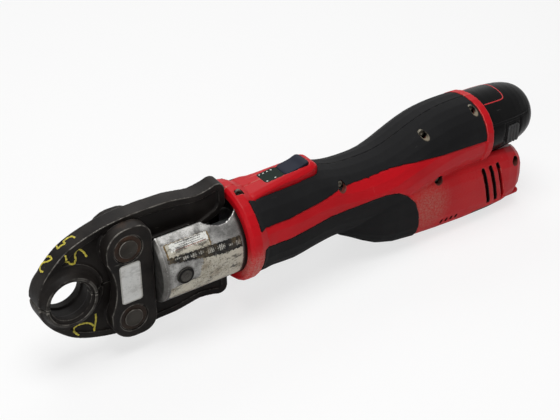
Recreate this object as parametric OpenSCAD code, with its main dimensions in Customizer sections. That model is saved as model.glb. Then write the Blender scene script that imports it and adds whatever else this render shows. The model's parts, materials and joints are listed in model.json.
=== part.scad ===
// Cordless inline press tool with a scissor jaw, in millimetres.
// +X runs from the jaw to the battery, +Z is up and the near side faces -Y.
// The origin is the centre of the press bore, which runs along Y.

/* [Jaw] */
// Diameter of the press bore at its lips
bore_d = 25.6; // [24.6:0.1:26.6]
// Diameter of the ring round the mouth of the bore
ring_d = 32.8; // [32:0.1:33.6]
// Thickness of the jaw across the bore
nose_t = 23.6; // [22:0.2:25]
// Thickness of each jaw arm
arm_t = 11.4; // [10.8:0.1:12]
// From the centre of the bore to the tip of the jaw
tip_reach = 19; // [18.5:0.1:20]
// From the centre of the bore to the jaw pivots
pivot_reach = 36.5; // [36:0.1:37]
// Distance between the two jaw pivots
pivot_pitch = 50; // [49:0.1:51]
// Diameter of the jaw pivot pins
pivot_d = 12; // [11:0.1:13]
// From the centre of the bore to the ends of the jaw arms
tail_reach = 108.3; // [107.5:0.1:108.6]
// Half the height of the closed jaw over its arms
jaw_half_h = 41.5; // [40.5:0.1:42.5]
// Angle through which each arm opens, in degrees
open_deg = 15; // [13:0.5:15]
// Thickness of the near side plate
plate_t = 8.7; // [8:0.1:9.5]
// Thickness of the far side plate
far_plate_t = 5; // [4.9:0.1:9.5]
// Radius of the side plate round each pivot
lobe_r = 14.1; // [14:0.1:15]

/* [Head] */
// Diameter of the fork head
head_d = 52.6; // [52:0.1:53.4]
// From the centre of the bore to the front of the fork head
head_reach = 53; // [52.8:0.1:53.6]
// Width of the slot in the fork head
slot_w = 22.6; // [22.4:0.1:23.4]
// From the centre of the bore to the jaw retaining pin
retain_reach = 67.5; // [67:0.1:68]
// Diameter of the jaw retaining pin
retain_d = 10.9; // [10:0.1:11.5]
// Radius of the round relief at the back of the slot
relief_r = 16.5; // [16:0.1:17.5]
// From the centre of the bore to the back face of the fork head
head_back = 116; // [115.5:0.1:117]

/* [Ram] */
// Stroke of the ram
stroke = 42; // [40:0.5:42]
// From the centre of the bore to the roller axes with the ram out
roller_reach = 86.5; // [86:0.1:87]
// Diameter of the press rollers
roller_d = 12; // [11.6:0.1:12]
// Bore of the hydraulic cylinder
cyl_bore = 29.4; // [29:0.1:30]
// Outer diameter of the hydraulic cylinder
cyl_d = 35; // [34.6:0.1:35.2]
// Diameter of the ram rod
rod_d = 15; // [13:0.1:16]

/* [Housing] */
// From the centre of the bore to the front face of the collar
collar_reach = 110.5; // [110.2:0.1:111.5]
// Diameter of the collar
collar_d = 66; // [64:0.2:68]
// Length of the upper housing behind its start
tube_l = 200; // [198:0.5:202]
// Greatest width of the upper housing
tube_w = 54; // [53.4:0.2:56]
// Height of the upper housing above the axis
tube_top = 37.6; // [37.4:0.1:38.6]
// Depth of the upper housing below the axis
tube_low = 31.5; // [31.2:0.1:33]
// Length of the motor housing
motor_box_l = 157.5; // [157:0.5:160]
// Greatest width of the motor housing
motor_box_w = 55.4; // [55:0.2:57]
// Depth of the motor housing below the axis
motor_box_low = 51.9; // [51.6:0.1:53]
// Wall thickness of the half shells
wall = 3; // [2.6:0.1:3.2]
// Thickness of the grips
grip_t = 2; // [1.8:0.1:2.2]

/* [Drive] */
// Diameter of the motor
motor_d = 35.2; // [34:0.1:35.4]
// Length of the motor
motor_l = 52; // [48:0.5:53]
// Depth of the motor axis below the tool axis
motor_drop = 27.6; // [27.4:0.1:28.4]
// Length of the gear case
gear_l = 24; // [22:0.5:25]
// Length of the pump block
pump_l = 20; // [19:0.5:21]

/* [Battery] */
// Diameter of the battery cap
battery_d = 48.2; // [47.6:0.2:48.6]
// Height of the battery axis above the tool axis
battery_rise = 12.8; // [12.7:0.1:13.2]
// Length of the battery cap
cap_l = 48.5; // [47.5:0.5:50]
// Length of the battery stick inside the tool
stick_l = 51; // [50:0.5:53]
// Diameter of each battery cell
cell_d = 18.4; // [18:0.1:18.5]
// Length of each battery cell
cell_l = 65; // [60:0.5:66]

/* [Hidden] */
$fn = 48;

// Clearances and small sizes used all over
over = 1;
run_gap = 0.05;
clear_gap = 0.3;
seat_gap = 0.15;
touch_gap = 0.1;
far_cut = 80;
hair = 0.02;
curve_steps = 4;

// Jaw: the outer edge of an arm, as shares of its length from the tip and of its half height
arm_edge_shares = [
    [0, 0], [0.006, 0.17], [0.036, 0.36], [0.082, 0.54], [0.149, 0.72], [0.228, 0.84],
    [0.345, 0.945], [0.463, 0.993], [0.596, 1], [0.697, 0.993], [0.776, 0.955], [0.84, 0.926],
    [0.912, 0.96], [0.955, 0.997], [0.988, 0.96], [1, 0.88]
];
arm_l = tip_reach + tail_reach;
pivot_h = pivot_pitch / 2;
half_split = 0.1;
rim_w = 4.5;
pocket_depth = 1.4;
boss_foot_r = 22.5;
mouth_r = 14.5;
mouth_depth = 1.9;
groove_r = 13.9;
groove_w = 8.6;
land_l = 9;
pivot_wall = 7;
crotch_rise = 4;
pin_pocket_h = 15.5;
pin_pocket_l = 19;
cam_points = 8;
tail_round = 4;
roller_r = roller_d / 2;
roller_h = roller_r + clear_gap;
open_rate = open_deg / stroke;
plate_gap = 0.4;
plate_in = arm_t / 2 + plate_gap;
plate_face = [plate_in + plate_t, plate_in + far_plate_t];
shoulder_gap = 0.8;
plate_back = head_reach - shoulder_gap;
plate_corner = 10;
waist_r = 40;
waist_depth = 4.5;
tongue_out = slot_w / 2 - plate_gap;
tongue_r = 11.5;
snap_r = 9.3;
snap_depth = 2;
snap_t = 1.5;
pin_proud = 0.3;
jaw_spring_r = 3.4;
jaw_spring_wire = 1.3;
jaw_spring_turns = 5;

// Head
head_r = head_d / 2;
head_chamfer = 2.2;
relief_reach = 98.5;
retain_r = retain_d / 2;
retain_well_r = 7.6;
retain_well_depth = 0.9;
knob_r = 8;
knob_t = 3;
knob_seat = 24.4;

// Ram and cylinder
clevis_front = 6;
clevis_back = 10.5;
clevis_in = arm_t / 2 + plate_gap;
clevis_out = 9.6;
clevis_h = 10.4;
roller_l = arm_t + clear_gap;
roller_pin_d = 5;
bore_r = cyl_bore / 2;
cyl_r = cyl_d / 2;
rod_r = rod_d / 2;
flange_r = 24.5;
flange_t = 5;
guide_t = 5.5;
guide_gap = 0.5;
spring_pack = 16;
piston_l = 9;
piston_gap = 0.5;
cap_t = 4.5;
seal_w = 3;
seal_depth = 2;
ram_spring_r = 11;
ram_spring_wire = 2;
ram_spring_turns = 5;
clevis_end = roller_reach + clevis_back;
guide_x = clevis_end + stroke + guide_gap;
piston_x = guide_x + guide_t + spring_pack;
cyl_end = piston_x + piston_l + stroke + piston_gap + cap_t;

// Housing: stations as shares of the length, half width, top and depth
tube_lead = 1.5;
tube_x = collar_reach + tube_lead;
tube_shares = [
    [0, 1.056, 0.758, 0.952], [0.075, 1.067, 0.771, 0.962], [0.105, 1.037, 0.758, 0.952],
    [0.19, 1, 0.73, 1], [0.265, 0.963, 0.74, 0.937], [0.34, 0.926, 0.68, 0.873],
    [0.39, 0.907, 0.6, 0.873], [0.44, 0.907, 0.555, 0.93], [0.515, 0.907, 0.545, 0.96],
    [0.58, 0.926, 0.57, 0.952], [0.64, 0.944, 0.655, 0.794], [0.715, 0.981, 0.805, 0.635],
    [0.79, 1, 0.93, 0.508], [0.865, 1, 0.99, 0.429], [0.94, 1, 1, 0.413], [1, 0.989, 0.98, 0.397]
];
tube_power = 2.15;
motor_box_share = 0.4;
motor_box_x = tube_x + motor_box_share * tube_l;
motor_box_shares = [
    [0, 0.643, 0.16, 0.53], [0.05, 0.76, 0.11, 0.61], [0.112, 0.84, 0.06, 0.73],
    [0.175, 0.9, 0.02, 0.835], [0.25, 0.946, -0.02, 0.905], [0.362, 0.964, -0.05, 0.952],
    [0.49, 0.982, -0.06, 0.981], [0.651, 1, -0.06, 1], [0.72, 1, -0.05, 1],
    [0.80, 1, -0.03, 1], [0.892, 0.985, 0.02, 0.981], [0.952, 0.935, 0.08, 0.942], [0.988, 0.83, 0.16, 0.87],
    [1, 0.68, 0.26, 0.78]
];
motor_box_power = 3.1;
ring_points = 24;
collar_l = 15;
collar_lip = 2;
collar_flat_share = 0.5;
collar_back_r = 28.6;
top_edge_shares = [
    [0.035, 0.345], [0.155, 0.301], [0.278, 0.351], [0.37, 0.397], [0.495, 0.367], [0.6, 0.399],
    [0.72, 0.425], [0.85, 0.415], [0.974, 0.382]
];
bottom_edge_shares = [
    [0.045, 0], [0.15, 0.07], [0.23, 0.03], [0.315, -0.02], [0.435, 0.01], [0.55, 0.016],
    [0.6, 0.07], [0.64, 0.235], [0.67, 0.457], [0.684, 0.73], [0.69, 0.98]
];
bezel_plan_shares = [[-0.03, 0.64], [0.095, 0.48], [0.19, 0.425], [0.25, 0.41], [0.315, 0.32], [0.345, 0]];
grip_proud = 0.5;
band_shares = [0.974, 1.006];
band_proud = 0.9;
rib_t = 3;
rib_shares = [0.325, 0.4275];
motor_rib_share = 0.62;
side_vents = 3;
side_vent_pitch = 7;
side_vent_w = 2.6;
side_vent_share = 0.73;
side_vent_top = 9.8;
side_vent_low = 38.6;
side_vent_lean = 8;
low_vents = 4;
low_vent_share = 0.512;
low_vent_pitch = 4.35;
low_vent_w = 2;
low_vent_drop = 40.5;
low_vent_in = 17;
foot_l = 9;
foot_r = 2.4;
foot_drop = 44;
foot_w = 19;
foot_proud = 1.5;
cradle_t = 2.4;

// Top controls
bezel_r = 6;
bezel_x = 126;
bezel_mid_x = 150;
bezel_end_x = 172;
bezel_w = 9;
bezel_mid_w = 7.5;
bezel_end_w = 4.5;
bezel_z = 22.8;
bezel_mid_z = 24;
bezel_end_z = 27;
trigger_x = 153;
trigger_l = 18.6;
trigger_r = 6.4;
trigger_corner = 3;
trigger_low = 21.6;
trigger_t = 1.4;
trigger_roof = 25.2;
trigger_top_shares = [[0, 0.58], [0.12, 0.66], [0.35, 0.73], [0.6, 0.83], [0.85, 1], [1, 0.93]];
trigger_rise = 9;
trigger_tab = 1.6;
trigger_tab_w = 6;
window_x = 138.2;
window_l = trigger_x - clear_gap - window_x;
window_r = 2;
window_w = 12.4;
window_top = 29.4;
window_t = 1.6;
lights = 4;
light_d = 1.4;
light_pitch = 1.8;
board_x = 131;
board_l = 18;
board_t = 1.6;
board_w = 15;
switch_x = 156;
switch_l = 12;
switch_w = 7.6;
switch_t = 2.6;
stem_r = 1.2;
stem_h = 1.2;
trigger_spring_r = 2.5;
trigger_spring_wire = 0.5;
trigger_spring_turns = 2;

// Screws: place along the upper housing, height as a share of its top, seat as a share of its half width,
// and length as a share of the longest
screw_shares = [
    [0.025, 0.798, 0.2, 1], [0.3835, 0.404, 0.5, 0.16], [0.737, 0.757, 0.36, 0.8], [0.953, 0.906, 0.36, 1],
    [0.7775, -0.128, 0.72, 0.55], [1.14, -0.372, 0.62, 1]
];
screw_head_r = 2.6;
screw_head_t = 1.8;
screw_r = 1.2;
screw_l = 16;
screw_well_r = 3.1;
boss_r = 4.2;

// Drive
motor_r = motor_d / 2;
pump_x = cyl_end;
gear_x = pump_x + pump_l;
motor_x = gear_x + gear_l;
pump_r = 16.5;
pump_low_r = 12.4;
pump_neck_w = 24;
shaft_r = 4;
eccentric_r = 6;
eccentric_off = 1.5;
eccentric_l = 6;
eccentric_pocket_l = 8;
eccentric_pocket_r = 8.2;
plunger_r = 3;
plunger_l = 12;
valve_r = 4;
valve_l = 9;
valve_seat = 6;
bladder_l = 16;
bladder_w = 22;
bladder_top = 18.6;
bladder_low = 28.6;
bladder_round = 3;
can_t = 2.4;
rotor_r = 12.5;
motor_shaft_r = 2.5;
rotor_end = 3;
fan_r = 12;
fan_l = 6;
fan_hub_r = 5;
fan_gap = 3.5;
fan_blades = 9;
fan_blade_t = 1.2;
fan_pitch_deg = 35;
coupler_l = 8;

// Battery
cap_x = tube_x + band_shares[1] * tube_l + clear_gap;
cap_shares = [
    [0, 0.985], [0.08, 1], [0.4, 0.975], [0.65, 0.92], [0.82, 0.83], [0.93, 0.69], [0.985, 0.5], [1, 0.34]
];
cell_r = cell_d / 2;
cell_gap = 0.15;
case_t = 0.9;
cell_ring = cell_r / cos(30) + cell_gap;
stick_r = cell_r + cell_gap + case_t;
stick_x = cap_x - stick_l;
cell_x = stick_x + case_t;
contact_t = 0.8;
contact_w = 4;
contact_h = 9;
contact_pitch = 7;
terminal_l = 10;
terminal_w = 26;
terminal_h = 20;
terminal_low = 6;
terminal_x = stick_x - terminal_l - 2 * contact_t;
latch_in = 16;
latch_x = cap_x + latch_in;
latch_l = 11;
latch_w = 14;
latch_round = 2;
latch_z = 10;
latch_under = 0.1;
latch_depth = 4.5;
latch_travel = 2.5;
latch_ribs = 3;
latch_rib_w = 1.1;
latch_rib_depth = 0.7;
// Smooth curve through the points, with k steps between each two
function cubic(a, b, c, d, u) =
    (2 * b + (c - a) * u + (2 * a - 5 * b + 4 * c - d) * u * u + (3 * b - a - 3 * c + d) * u * u * u) / 2;
function smooth(p, k) = let (n = len(p) - 1) concat(
    [for (i = [0:n - 1], j = [0:k - 1]) cubic(p[max(i - 1, 0)], p[i], p[i + 1], p[min(i + 2, n)], j / k)],
    [p[n]]);

// Value of column c of a station table at x, on a smooth curve
function span(t, x, i = 0) = i >= len(t) - 2 || x <= t[i + 1][0] ? i : span(t, x, i + 1);
function slope(t, i, c) = let (a = max(i - 1, 0), b = min(i + 1, len(t) - 1)) (t[b][c] - t[a][c]) / (t[b][0] - t[a][0]);
function at(t, x, c) =
    let (i = span(t, x), h = t[i + 1][0] - t[i][0], u = (x - t[i][0]) / h)
    (2 * u ^ 3 - 3 * u ^ 2 + 1) * t[i][c] + (u ^ 3 - 2 * u ^ 2 + u) * h * slope(t, i, c)
    + (3 * u ^ 2 - 2 * u ^ 3) * t[i + 1][c] + (u ^ 3 - u ^ 2) * h * slope(t, i + 1, c);

// A skin through rounded sections: rows of [x, half width, top, bottom]
function section(row, power) = [
    for (i = [0:ring_points - 1])
        let (t = 360 * i / ring_points, c = cos(t), s = sin(t))
        [row[0], row[1] * sign(c) * abs(c) ^ (2 / power),
         (row[2] + row[3]) / 2 + (row[2] - row[3]) / 2 * sign(s) * abs(s) ^ (2 / power)]
];
module skin(rows, power) {
    n = ring_points;
    m = len(rows);
    sides = [
        for (i = [0:m - 2], j = [0:n - 1])
            let (a = i * n + j, b = i * n + (j + 1) % n)
            each [[a, a + n, b], [a + n, b + n, b]]
    ];
    ends = [[for (j = [0:n - 1]) j], [for (j = [0:n - 1]) (m - 1) * n + n - 1 - j]];
    polyhedron([for (r = rows) each section(r, power)], concat(ends, sides));
}

// One unbroken wire along the points, with its ends square
function across(a, b) = let (v = cross(a, b)) v / norm(v);
module wire(p, r, up) {
    n = len(p);
    k = 6;
    dirs = [for (i = [0:n - 1]) let (d = p[min(i + 1, n - 1)] - p[max(i - 1, 0)]) d / norm(d)];
    pts = [
        for (i = [0:n - 1])
            let (u = across(dirs[i], up), v = cross(dirs[i], u))
            for (j = [0:k - 1]) p[i] + r * (cos(360 * j / k) * u + sin(360 * j / k) * v)
    ];
    sides = [
        for (i = [0:n - 2], j = [0:k - 1])
            let (a = i * k + j, b = i * k + (j + 1) % k)
            each [[a, b, a + k], [a + k, b, b + k]]
    ];
    ends = [[for (j = [0:k - 1]) k - 1 - j], [for (j = [0:k - 1]) (n - 1) * k + j]];
    polyhedron(pts, concat(ends, sides));
}
turn_steps = 8;
function helix(r, length, turns) = [
    for (i = [0:turns * turn_steps])
        let (t = 360 * i / turn_steps) [r * cos(t), r * sin(t), length * i / (turns * turn_steps)]
];
function least_gap(p, d) = min([
    for (i = [0:len(p) - 1 - turn_steps]) norm(p[i + turn_steps] - p[i]) - d
]);
module coil(r, d, length, turns) {
    p = helix(r, length - d, turns);
    echo(coil_turns = turns, coil_least_gap = least_gap(p, d));
    translate([0, 0, d / 2])
        wire(p, d / 2, [0, 0, 1]);
}

// A drawing in X and Z, thick along Y between the two faces given
module plate(y0, y1) {
    translate([0, y1, 0])
        rotate([90, 0, 0])
            linear_extrude(y1 - y0)
                children();
}
module across_y(r, y0, y1) {
    translate([0, y0, 0])
        rotate([-90, 0, 0])
            cylinder(r = r, h = y1 - y0);
}
module along_x(r, x0, x1) {
    translate([x0, 0, 0])
        rotate([0, 90, 0])
            cylinder(r = r, h = x1 - x0);
}
// A profile of [radius, place] points turned about the X axis or the Y axis
module turned_x(profile) {
    rotate([0, 90, 0])
        rotate_extrude()
            polygon(profile);
}
module turned_y(profile) {
    rotate([-90, 0, 0])
        rotate_extrude()
            polygon(profile);
}

// The path of a roller as the opening arm sees it, and the cam face that clears it
function seen(s) =
    let (a = open_rate * s, dx = roller_reach + s - pivot_reach, dz = roller_h - pivot_h)
    [pivot_reach + dx * cos(a) - dz * sin(a), pivot_h + dx * sin(a) + dz * cos(a)];
function cam(s) =
    let (d = seen(s + hair) - seen(s - hair), n = [-d[1], d[0]] / norm(d))
    seen(s) + (roller_r + clear_gap) * n;
cam_stroke = tail_reach - roller_reach;
arm_edge = [for (p = arm_edge_shares) [p[0] * arm_l - tip_reach, max(p[1] * jaw_half_h, half_split)]];
tail_cam = [for (i = [0:cam_points]) cam(cam_stroke * (cam_points - i) / cam_points)];
arm_outline = concat(
    smooth(arm_edge, curve_steps),
    [[tail_reach, tail_cam[0][1] + tail_round]],
    [for (p = tail_cam) if (p[0] < tail_reach - tail_round / 2) p],
    [
        [cam(0)[0] - crotch_rise, pin_pocket_h], [retain_reach - pin_pocket_l / 2, pin_pocket_h],
        [pivot_reach + pivot_d, pivot_h - pivot_d / 2 - pivot_wall], [pivot_reach, pivot_h - pivot_d / 2 - pivot_wall],
        [ring_d / 2 + land_l, crotch_rise], [ring_d / 2 + land_l / 2, half_split]
    ]
);
module jaw_arm() {
    difference() {
        union() {
            plate(-arm_t / 2, arm_t / 2)
                polygon(arm_outline);
            intersection() {
                turned_y([
                    [0, -nose_t / 2], [ring_d / 2, -nose_t / 2], [ring_d / 2 + rim_w / 3, -nose_t / 3],
                    [boss_foot_r, -arm_t / 2 + pocket_depth], [boss_foot_r, arm_t / 2 - pocket_depth],
                    [ring_d / 2 + rim_w / 3, nose_t / 3], [ring_d / 2, nose_t / 2], [0, nose_t / 2]
                ]);
                plate(-nose_t, nose_t)
                    polygon(concat(smooth(arm_edge, curve_steps), [[tail_reach, half_split]]));
            }
        }
        for (side = [-1, 1])
            plate(side * arm_t / 2 - pocket_depth, side * arm_t / 2 + pocket_depth)
                difference() {
                    offset(delta = -rim_w)
                        polygon(arm_outline);
                    circle(r = boss_foot_r);
                    translate([pivot_reach, pivot_h])
                        circle(r = lobe_r);
                }
        turned_y([
            [0, -nose_t], [mouth_r, -nose_t], [mouth_r, mouth_depth - nose_t / 2], [bore_d / 2, mouth_depth - nose_t / 2],
            [bore_d / 2, -groove_w / 2], [groove_r, -groove_w / 2], [groove_r, groove_w / 2], [bore_d / 2, groove_w / 2],
            [bore_d / 2, nose_t / 2 - mouth_depth], [mouth_r, nose_t / 2 - mouth_depth], [mouth_r, nose_t], [0, nose_t]
        ]);
        translate([pivot_reach, 0, pivot_h])
            across_y(pivot_d / 2 + run_gap, -arm_t, arm_t);
    }
}
module upper_jaw_arm() {
    color("#2b2725")
        jaw_arm();
}
module lower_jaw_arm() {
    color("#2b2725")
        mirror([0, 0, 1])
            jaw_arm();
}

// Side plates with a stepped tongue for the retaining pin
module side_plate(plate_out) {
    difference() {
        union() {
            plate(plate_in, plate_out)
                difference() {
                    hull()
                        for (side = [-1, 1]) {
                            translate([pivot_reach, side * pivot_h])
                                circle(r = lobe_r);
                            translate([plate_back - plate_corner, side * (pivot_h + lobe_r - plate_corner)])
                                circle(r = plate_corner);
                        }
                    translate([pivot_reach - lobe_r + waist_depth - waist_r, 0])
                        circle(r = waist_r);
                }
            plate(plate_in, tongue_out)
                hull() {
                    translate([retain_reach, 0])
                        circle(r = tongue_r);
                    translate([plate_back - plate_corner, -tongue_r])
                        square([plate_corner, 2 * tongue_r]);
                }
        }
        for (side = [-1, 1])
            translate([pivot_reach, 0, side * pivot_h]) {
                across_y(pivot_d / 2 + run_gap, plate_in - over, plate_out + over);
                across_y(snap_r, plate_out - snap_depth, plate_out + over);
            }
        translate([retain_reach, 0, 0])
            across_y(retain_r + run_gap, plate_in - over, tongue_out + over);
    }
}
module far_side_plate() {
    color("#2d2a28")
        side_plate(plate_face[1]);
}
module near_side_plate() {
    color("#2d2a28")
        mirror([0, 1, 0])
            side_plate(plate_face[0]);
}
function ring_y(end) = (2 * end - 1) * (plate_face[end] - snap_depth + snap_t / 2);
module jaw_pivot_pins() {
    color("#3a3531")
        for (side = [-1, 1])
            translate([pivot_reach, 0, side * pivot_h])
                difference() {
                    across_y(pivot_d / 2, -plate_face[0] - pin_proud, plate_face[1] + pin_proud);
                    for (end = [0, 1])
                        translate([0, ring_y(end), 0])
                            difference() {
                                across_y(pivot_d, -snap_t / 2, snap_t / 2);
                                across_y(pivot_d / 2 - snap_t / 2, -snap_t, snap_t);
                            }
                }
}
module pin_retaining_rings() {
    color("#5a3a28")
        for (side = [-1, 1], end = [0, 1])
            translate([pivot_reach, ring_y(end), side * pivot_h])
                difference() {
                    across_y(snap_r - clear_gap, touch_gap - snap_t / 2, snap_t / 2 - touch_gap);
                    across_y(pivot_d / 2 - snap_t / 2 + run_gap, -snap_t, snap_t);
                }
}
module jaw_spring() {
    reach = pivot_h - pivot_d / 2 - pivot_wall - clear_gap;
    color("#7d7f82")
        translate([pivot_reach + pivot_d / 2, 0, -reach])
            coil(jaw_spring_r, jaw_spring_wire, 2 * reach, jaw_spring_turns);
}

// Fork head, its retaining pin, the ram and the cylinder
module fork_head() {
    color("#b9bbbd")
        difference() {
            turned_x([
                [0, head_reach], [head_r - head_chamfer, head_reach], [head_r, head_reach + head_chamfer],
                [head_r, head_back], [0, head_back]
            ]);
            translate([head_reach - over, -slot_w / 2, -head_d])
                cube([relief_reach - head_reach + over, slot_w, 2 * head_d]);
            translate([relief_reach, 0, -head_d])
                cylinder(r = relief_r, h = 2 * head_d);
            along_x(bore_r, relief_reach, head_back + over);
            translate([retain_reach, 0, 0]) {
                across_y(retain_r + run_gap, -head_d, head_d);
                across_y(retain_well_r, -head_d, retain_well_depth - head_r);
                across_y(knob_r + clear_gap, knob_seat, head_d);
            }
        }
}
module jaw_retaining_pin() {
    color("#3b3a39")
        translate([retain_reach, 0, 0])
            difference() {
                union() {
                    across_y(retain_r, -head_r, knob_seat + knob_t);
                    across_y(knob_r, knob_seat + touch_gap, knob_seat + knob_t);
                }
                across_y(retain_r / 2, knob_seat + knob_t - snap_t, head_d);
            }
}
module at_rollers() {
    for (side = [-1, 1])
        translate([roller_reach, 0, side * roller_h])
            children();
}
module ram() {
    color("#8c8f93")
        difference() {
            union() {
                translate([roller_reach - clevis_front, -clevis_out, -clevis_h])
                    cube([clevis_front + clevis_back, 2 * clevis_out, 2 * clevis_h]);
                along_x(rod_r, clevis_end - over, piston_x + over);
                along_x(bore_r - touch_gap, piston_x, piston_x + piston_l);
            }
            translate([roller_reach - clevis_front - over, -clevis_in, -clevis_h - over])
                cube([clevis_front + roller_r + clear_gap + over, 2 * clevis_in, 2 * (clevis_h + over)]);
            at_rollers()
                across_y(roller_pin_d / 2 + run_gap, -clevis_out - over, clevis_out + over);
            translate([piston_x + piston_l / 2, 0, 0])
                difference() {
                    along_x(bore_r + over, -seal_w / 2, seal_w / 2);
                    along_x(bore_r - seal_depth, -seal_w, seal_w);
                }
        }
}
module roller() {
    difference() {
        across_y(roller_r, -roller_l / 2, roller_l / 2);
        across_y(roller_pin_d / 2 + run_gap, -roller_l, roller_l);
    }
}
module upper_roller() {
    color("#9a9da0")
        translate([roller_reach, 0, roller_h])
            roller();
}
module lower_roller() {
    color("#9a9da0")
        translate([roller_reach, 0, -roller_h])
            roller();
}
module roller_pins() {
    color("#7a7c7f")
        at_rollers()
            across_y(roller_pin_d / 2, -clevis_out, clevis_out);
}
module rod_guide() {
    color("#b08d57")
        difference() {
            along_x(bore_r - touch_gap / 2, guide_x, guide_x + guide_t);
            along_x(rod_r + run_gap, guide_x - over, guide_x + guide_t + over);
        }
}
module ram_return_spring() {
    color("#7d7f82")
        translate([guide_x + guide_t, 0, 0])
            rotate([0, 90, 0])
                translate([0, 0, clear_gap / 2])
                    coil(ram_spring_r, ram_spring_wire, spring_pack - clear_gap, ram_spring_turns);
}
module piston_seal() {
    color("#1c1c1c")
        translate([piston_x + piston_l / 2, 0, 0])
            difference() {
                along_x(bore_r - run_gap, touch_gap - seal_w / 2, seal_w / 2 - touch_gap);
                along_x(bore_r - seal_depth + run_gap, -seal_w, seal_w);
            }
}
module hydraulic_cylinder() {
    color("#6f7276")
        difference() {
            union() {
                along_x(flange_r, head_back, head_back + flange_t);
                along_x(cyl_r, head_back, cyl_end);
            }
            along_x(bore_r, head_back - over, cyl_end - cap_t);
        }
}

// Outer form of the housing, grown or shrunk by d
tube_rows = [for (s = tube_shares) [tube_x + s[0] * tube_l, s[1] * tube_w / 2, s[2] * tube_top, -s[3] * tube_low]];
motor_box_rows = [
    for (s = motor_box_shares)
        [motor_box_x + s[0] * motor_box_l, s[1] * motor_box_w / 2, -s[2] * motor_box_low, -s[3] * motor_box_low]
];
function grown(r, d) = [r[0], r[1] + d, r[2] + d, r[3] - d];
function filled(rows, d, k) = let (n = len(rows) - 1) concat(
    [
        for (i = [0:n - 1], j = [0:k - 1])
            let (x = rows[i][0] + (rows[i + 1][0] - rows[i][0]) * j / k)
            grown([x, at(rows, x, 1), at(rows, x, 2), at(rows, x, 3)], d)
    ],
    [grown(rows[n], d)]);
function squeezed(rows, d) = let (x0 = rows[0][0], l = rows[len(rows) - 1][0] - x0) [
    for (r = rows) [x0 + (r[0] - x0) * (l + d) / l, r[1], r[2], r[3]]
];
module tube_form(d) {
    rows = filled(tube_rows, d, d < 0 ? 1 : 2);
    last = rows[len(rows) - 1];
    skin(concat(rows, [[last[0] + (d < 0 ? 2 : 1) * over, last[1], last[2], last[3]]]), tube_power);
}
module motor_box_form(d) {
    skin(squeezed(filled(motor_box_rows, d, 1), d), motor_box_power);
}
module collar_form(d) {
    r = collar_d / 2 + d;
    turned_x([
        [0, collar_reach], [r - collar_lip, collar_reach], [r, collar_reach + collar_lip],
        [r, collar_reach + collar_flat_share * collar_l], [collar_back_r + d, collar_reach + collar_l],
        [0, collar_reach + collar_l]
    ]);
}
module body_form(d) {
    tube_form(d);
    motor_box_form(d);
    collar_form(d);
}
module near_half() {
    translate([0, -far_cut - touch_gap / 2, -far_cut])
        cube([6 * far_cut, far_cut, 2 * far_cut]);
}

// Regions of the grips, seen from the side, and of the red bezel, seen from above
module edge_strip(shares, depth, up) {
    for (i = [0:len(shares) - 2])
        hull()
            for (s = [shares[i], shares[i + 1]])
                translate([tube_x + s[0] * tube_l, -far_cut, up ? s[1] * depth : -far_cut])
                    cube([hair, 2 * far_cut, up ? far_cut : far_cut - s[1] * depth]);
}
module bezel_plan(grow) {
    p = smooth([for (s = bezel_plan_shares) [tube_x + s[0] * tube_l, s[1] * tube_w / 2]], curve_steps);
    linear_extrude(far_cut)
        offset(delta = grow)
            polygon(concat(p, [for (i = [len(p) - 1:-1:0]) [p[i][0], -p[i][1]]]));
}
module top_region(grow) {
    difference() {
        edge_strip(top_edge_shares, tube_top, true);
        bezel_plan(-grow);
    }
}
module bottom_region() {
    edge_strip(bottom_edge_shares, tube_low, false);
}
// How far each screw reaches past the split: as far as it starts before it, at most
function shank_l(s) = min(s[3] * screw_l, s[2] * tube_w);
function shank_end(s) = max(shank_l(s) - s[2] * tube_w / 2, 0);
module at_screws() {
    $fn = 16;
    for (s = screw_shares)
        translate([tube_x + s[0] * tube_l, -s[2] * tube_w / 2, s[1] * tube_top])
            children();
}
module bezel() {
    hull()
        for (side = [-1, 1]) {
            translate([bezel_x, side * bezel_w, bezel_z])
                sphere(r = bezel_r, $fn = 16);
            translate([bezel_mid_x, side * bezel_mid_w, bezel_mid_z])
                sphere(r = bezel_r, $fn = 16);
            translate([bezel_end_x, side * bezel_end_w, bezel_end_z])
                sphere(r = bezel_r, $fn = 16);
        }
}
module rounded_pad(l, w, r) {
    hull()
        for (x = [r, l - r], y = [r - w / 2, w / 2 - r])
            translate([x, y])
                circle(r = r, $fn = 24);
}
module side_vent_cuts() {
    for (i = [0:side_vents - 1])
        translate([motor_box_x + side_vent_share * motor_box_l + i * side_vent_pitch, -motor_r, 0])
            hull() {
                translate([0, 0, -side_vent_top])
                    rotate([90, 0, 0])
                        cylinder(d = side_vent_w, h = far_cut, $fn = 8);
                translate([side_vent_lean, 0, -side_vent_low])
                    rotate([90, 0, 0])
                        cylinder(d = side_vent_w, h = far_cut, $fn = 8);
            }
}
module low_vent_cuts() {
    for (i = [0:low_vents - 1])
        translate([motor_box_x + low_vent_share * motor_box_l + i * low_vent_pitch, 0, 0])
            hull()
                for (side = [0, 1])
                    translate([side * low_vent_w, -low_vent_in - side * low_vent_w, -far_cut])
                        cylinder(d = low_vent_w, h = far_cut - low_vent_drop + side * low_vent_w, $fn = 6);
}
module foot() {
    hull()
        for (x = [-foot_l, 0], y = [-foot_w, foot_w])
            translate([motor_box_x + motor_box_l - foot_r + foot_proud + x, y, -foot_drop])
                sphere(r = foot_r, $fn = 12);
}
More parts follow.
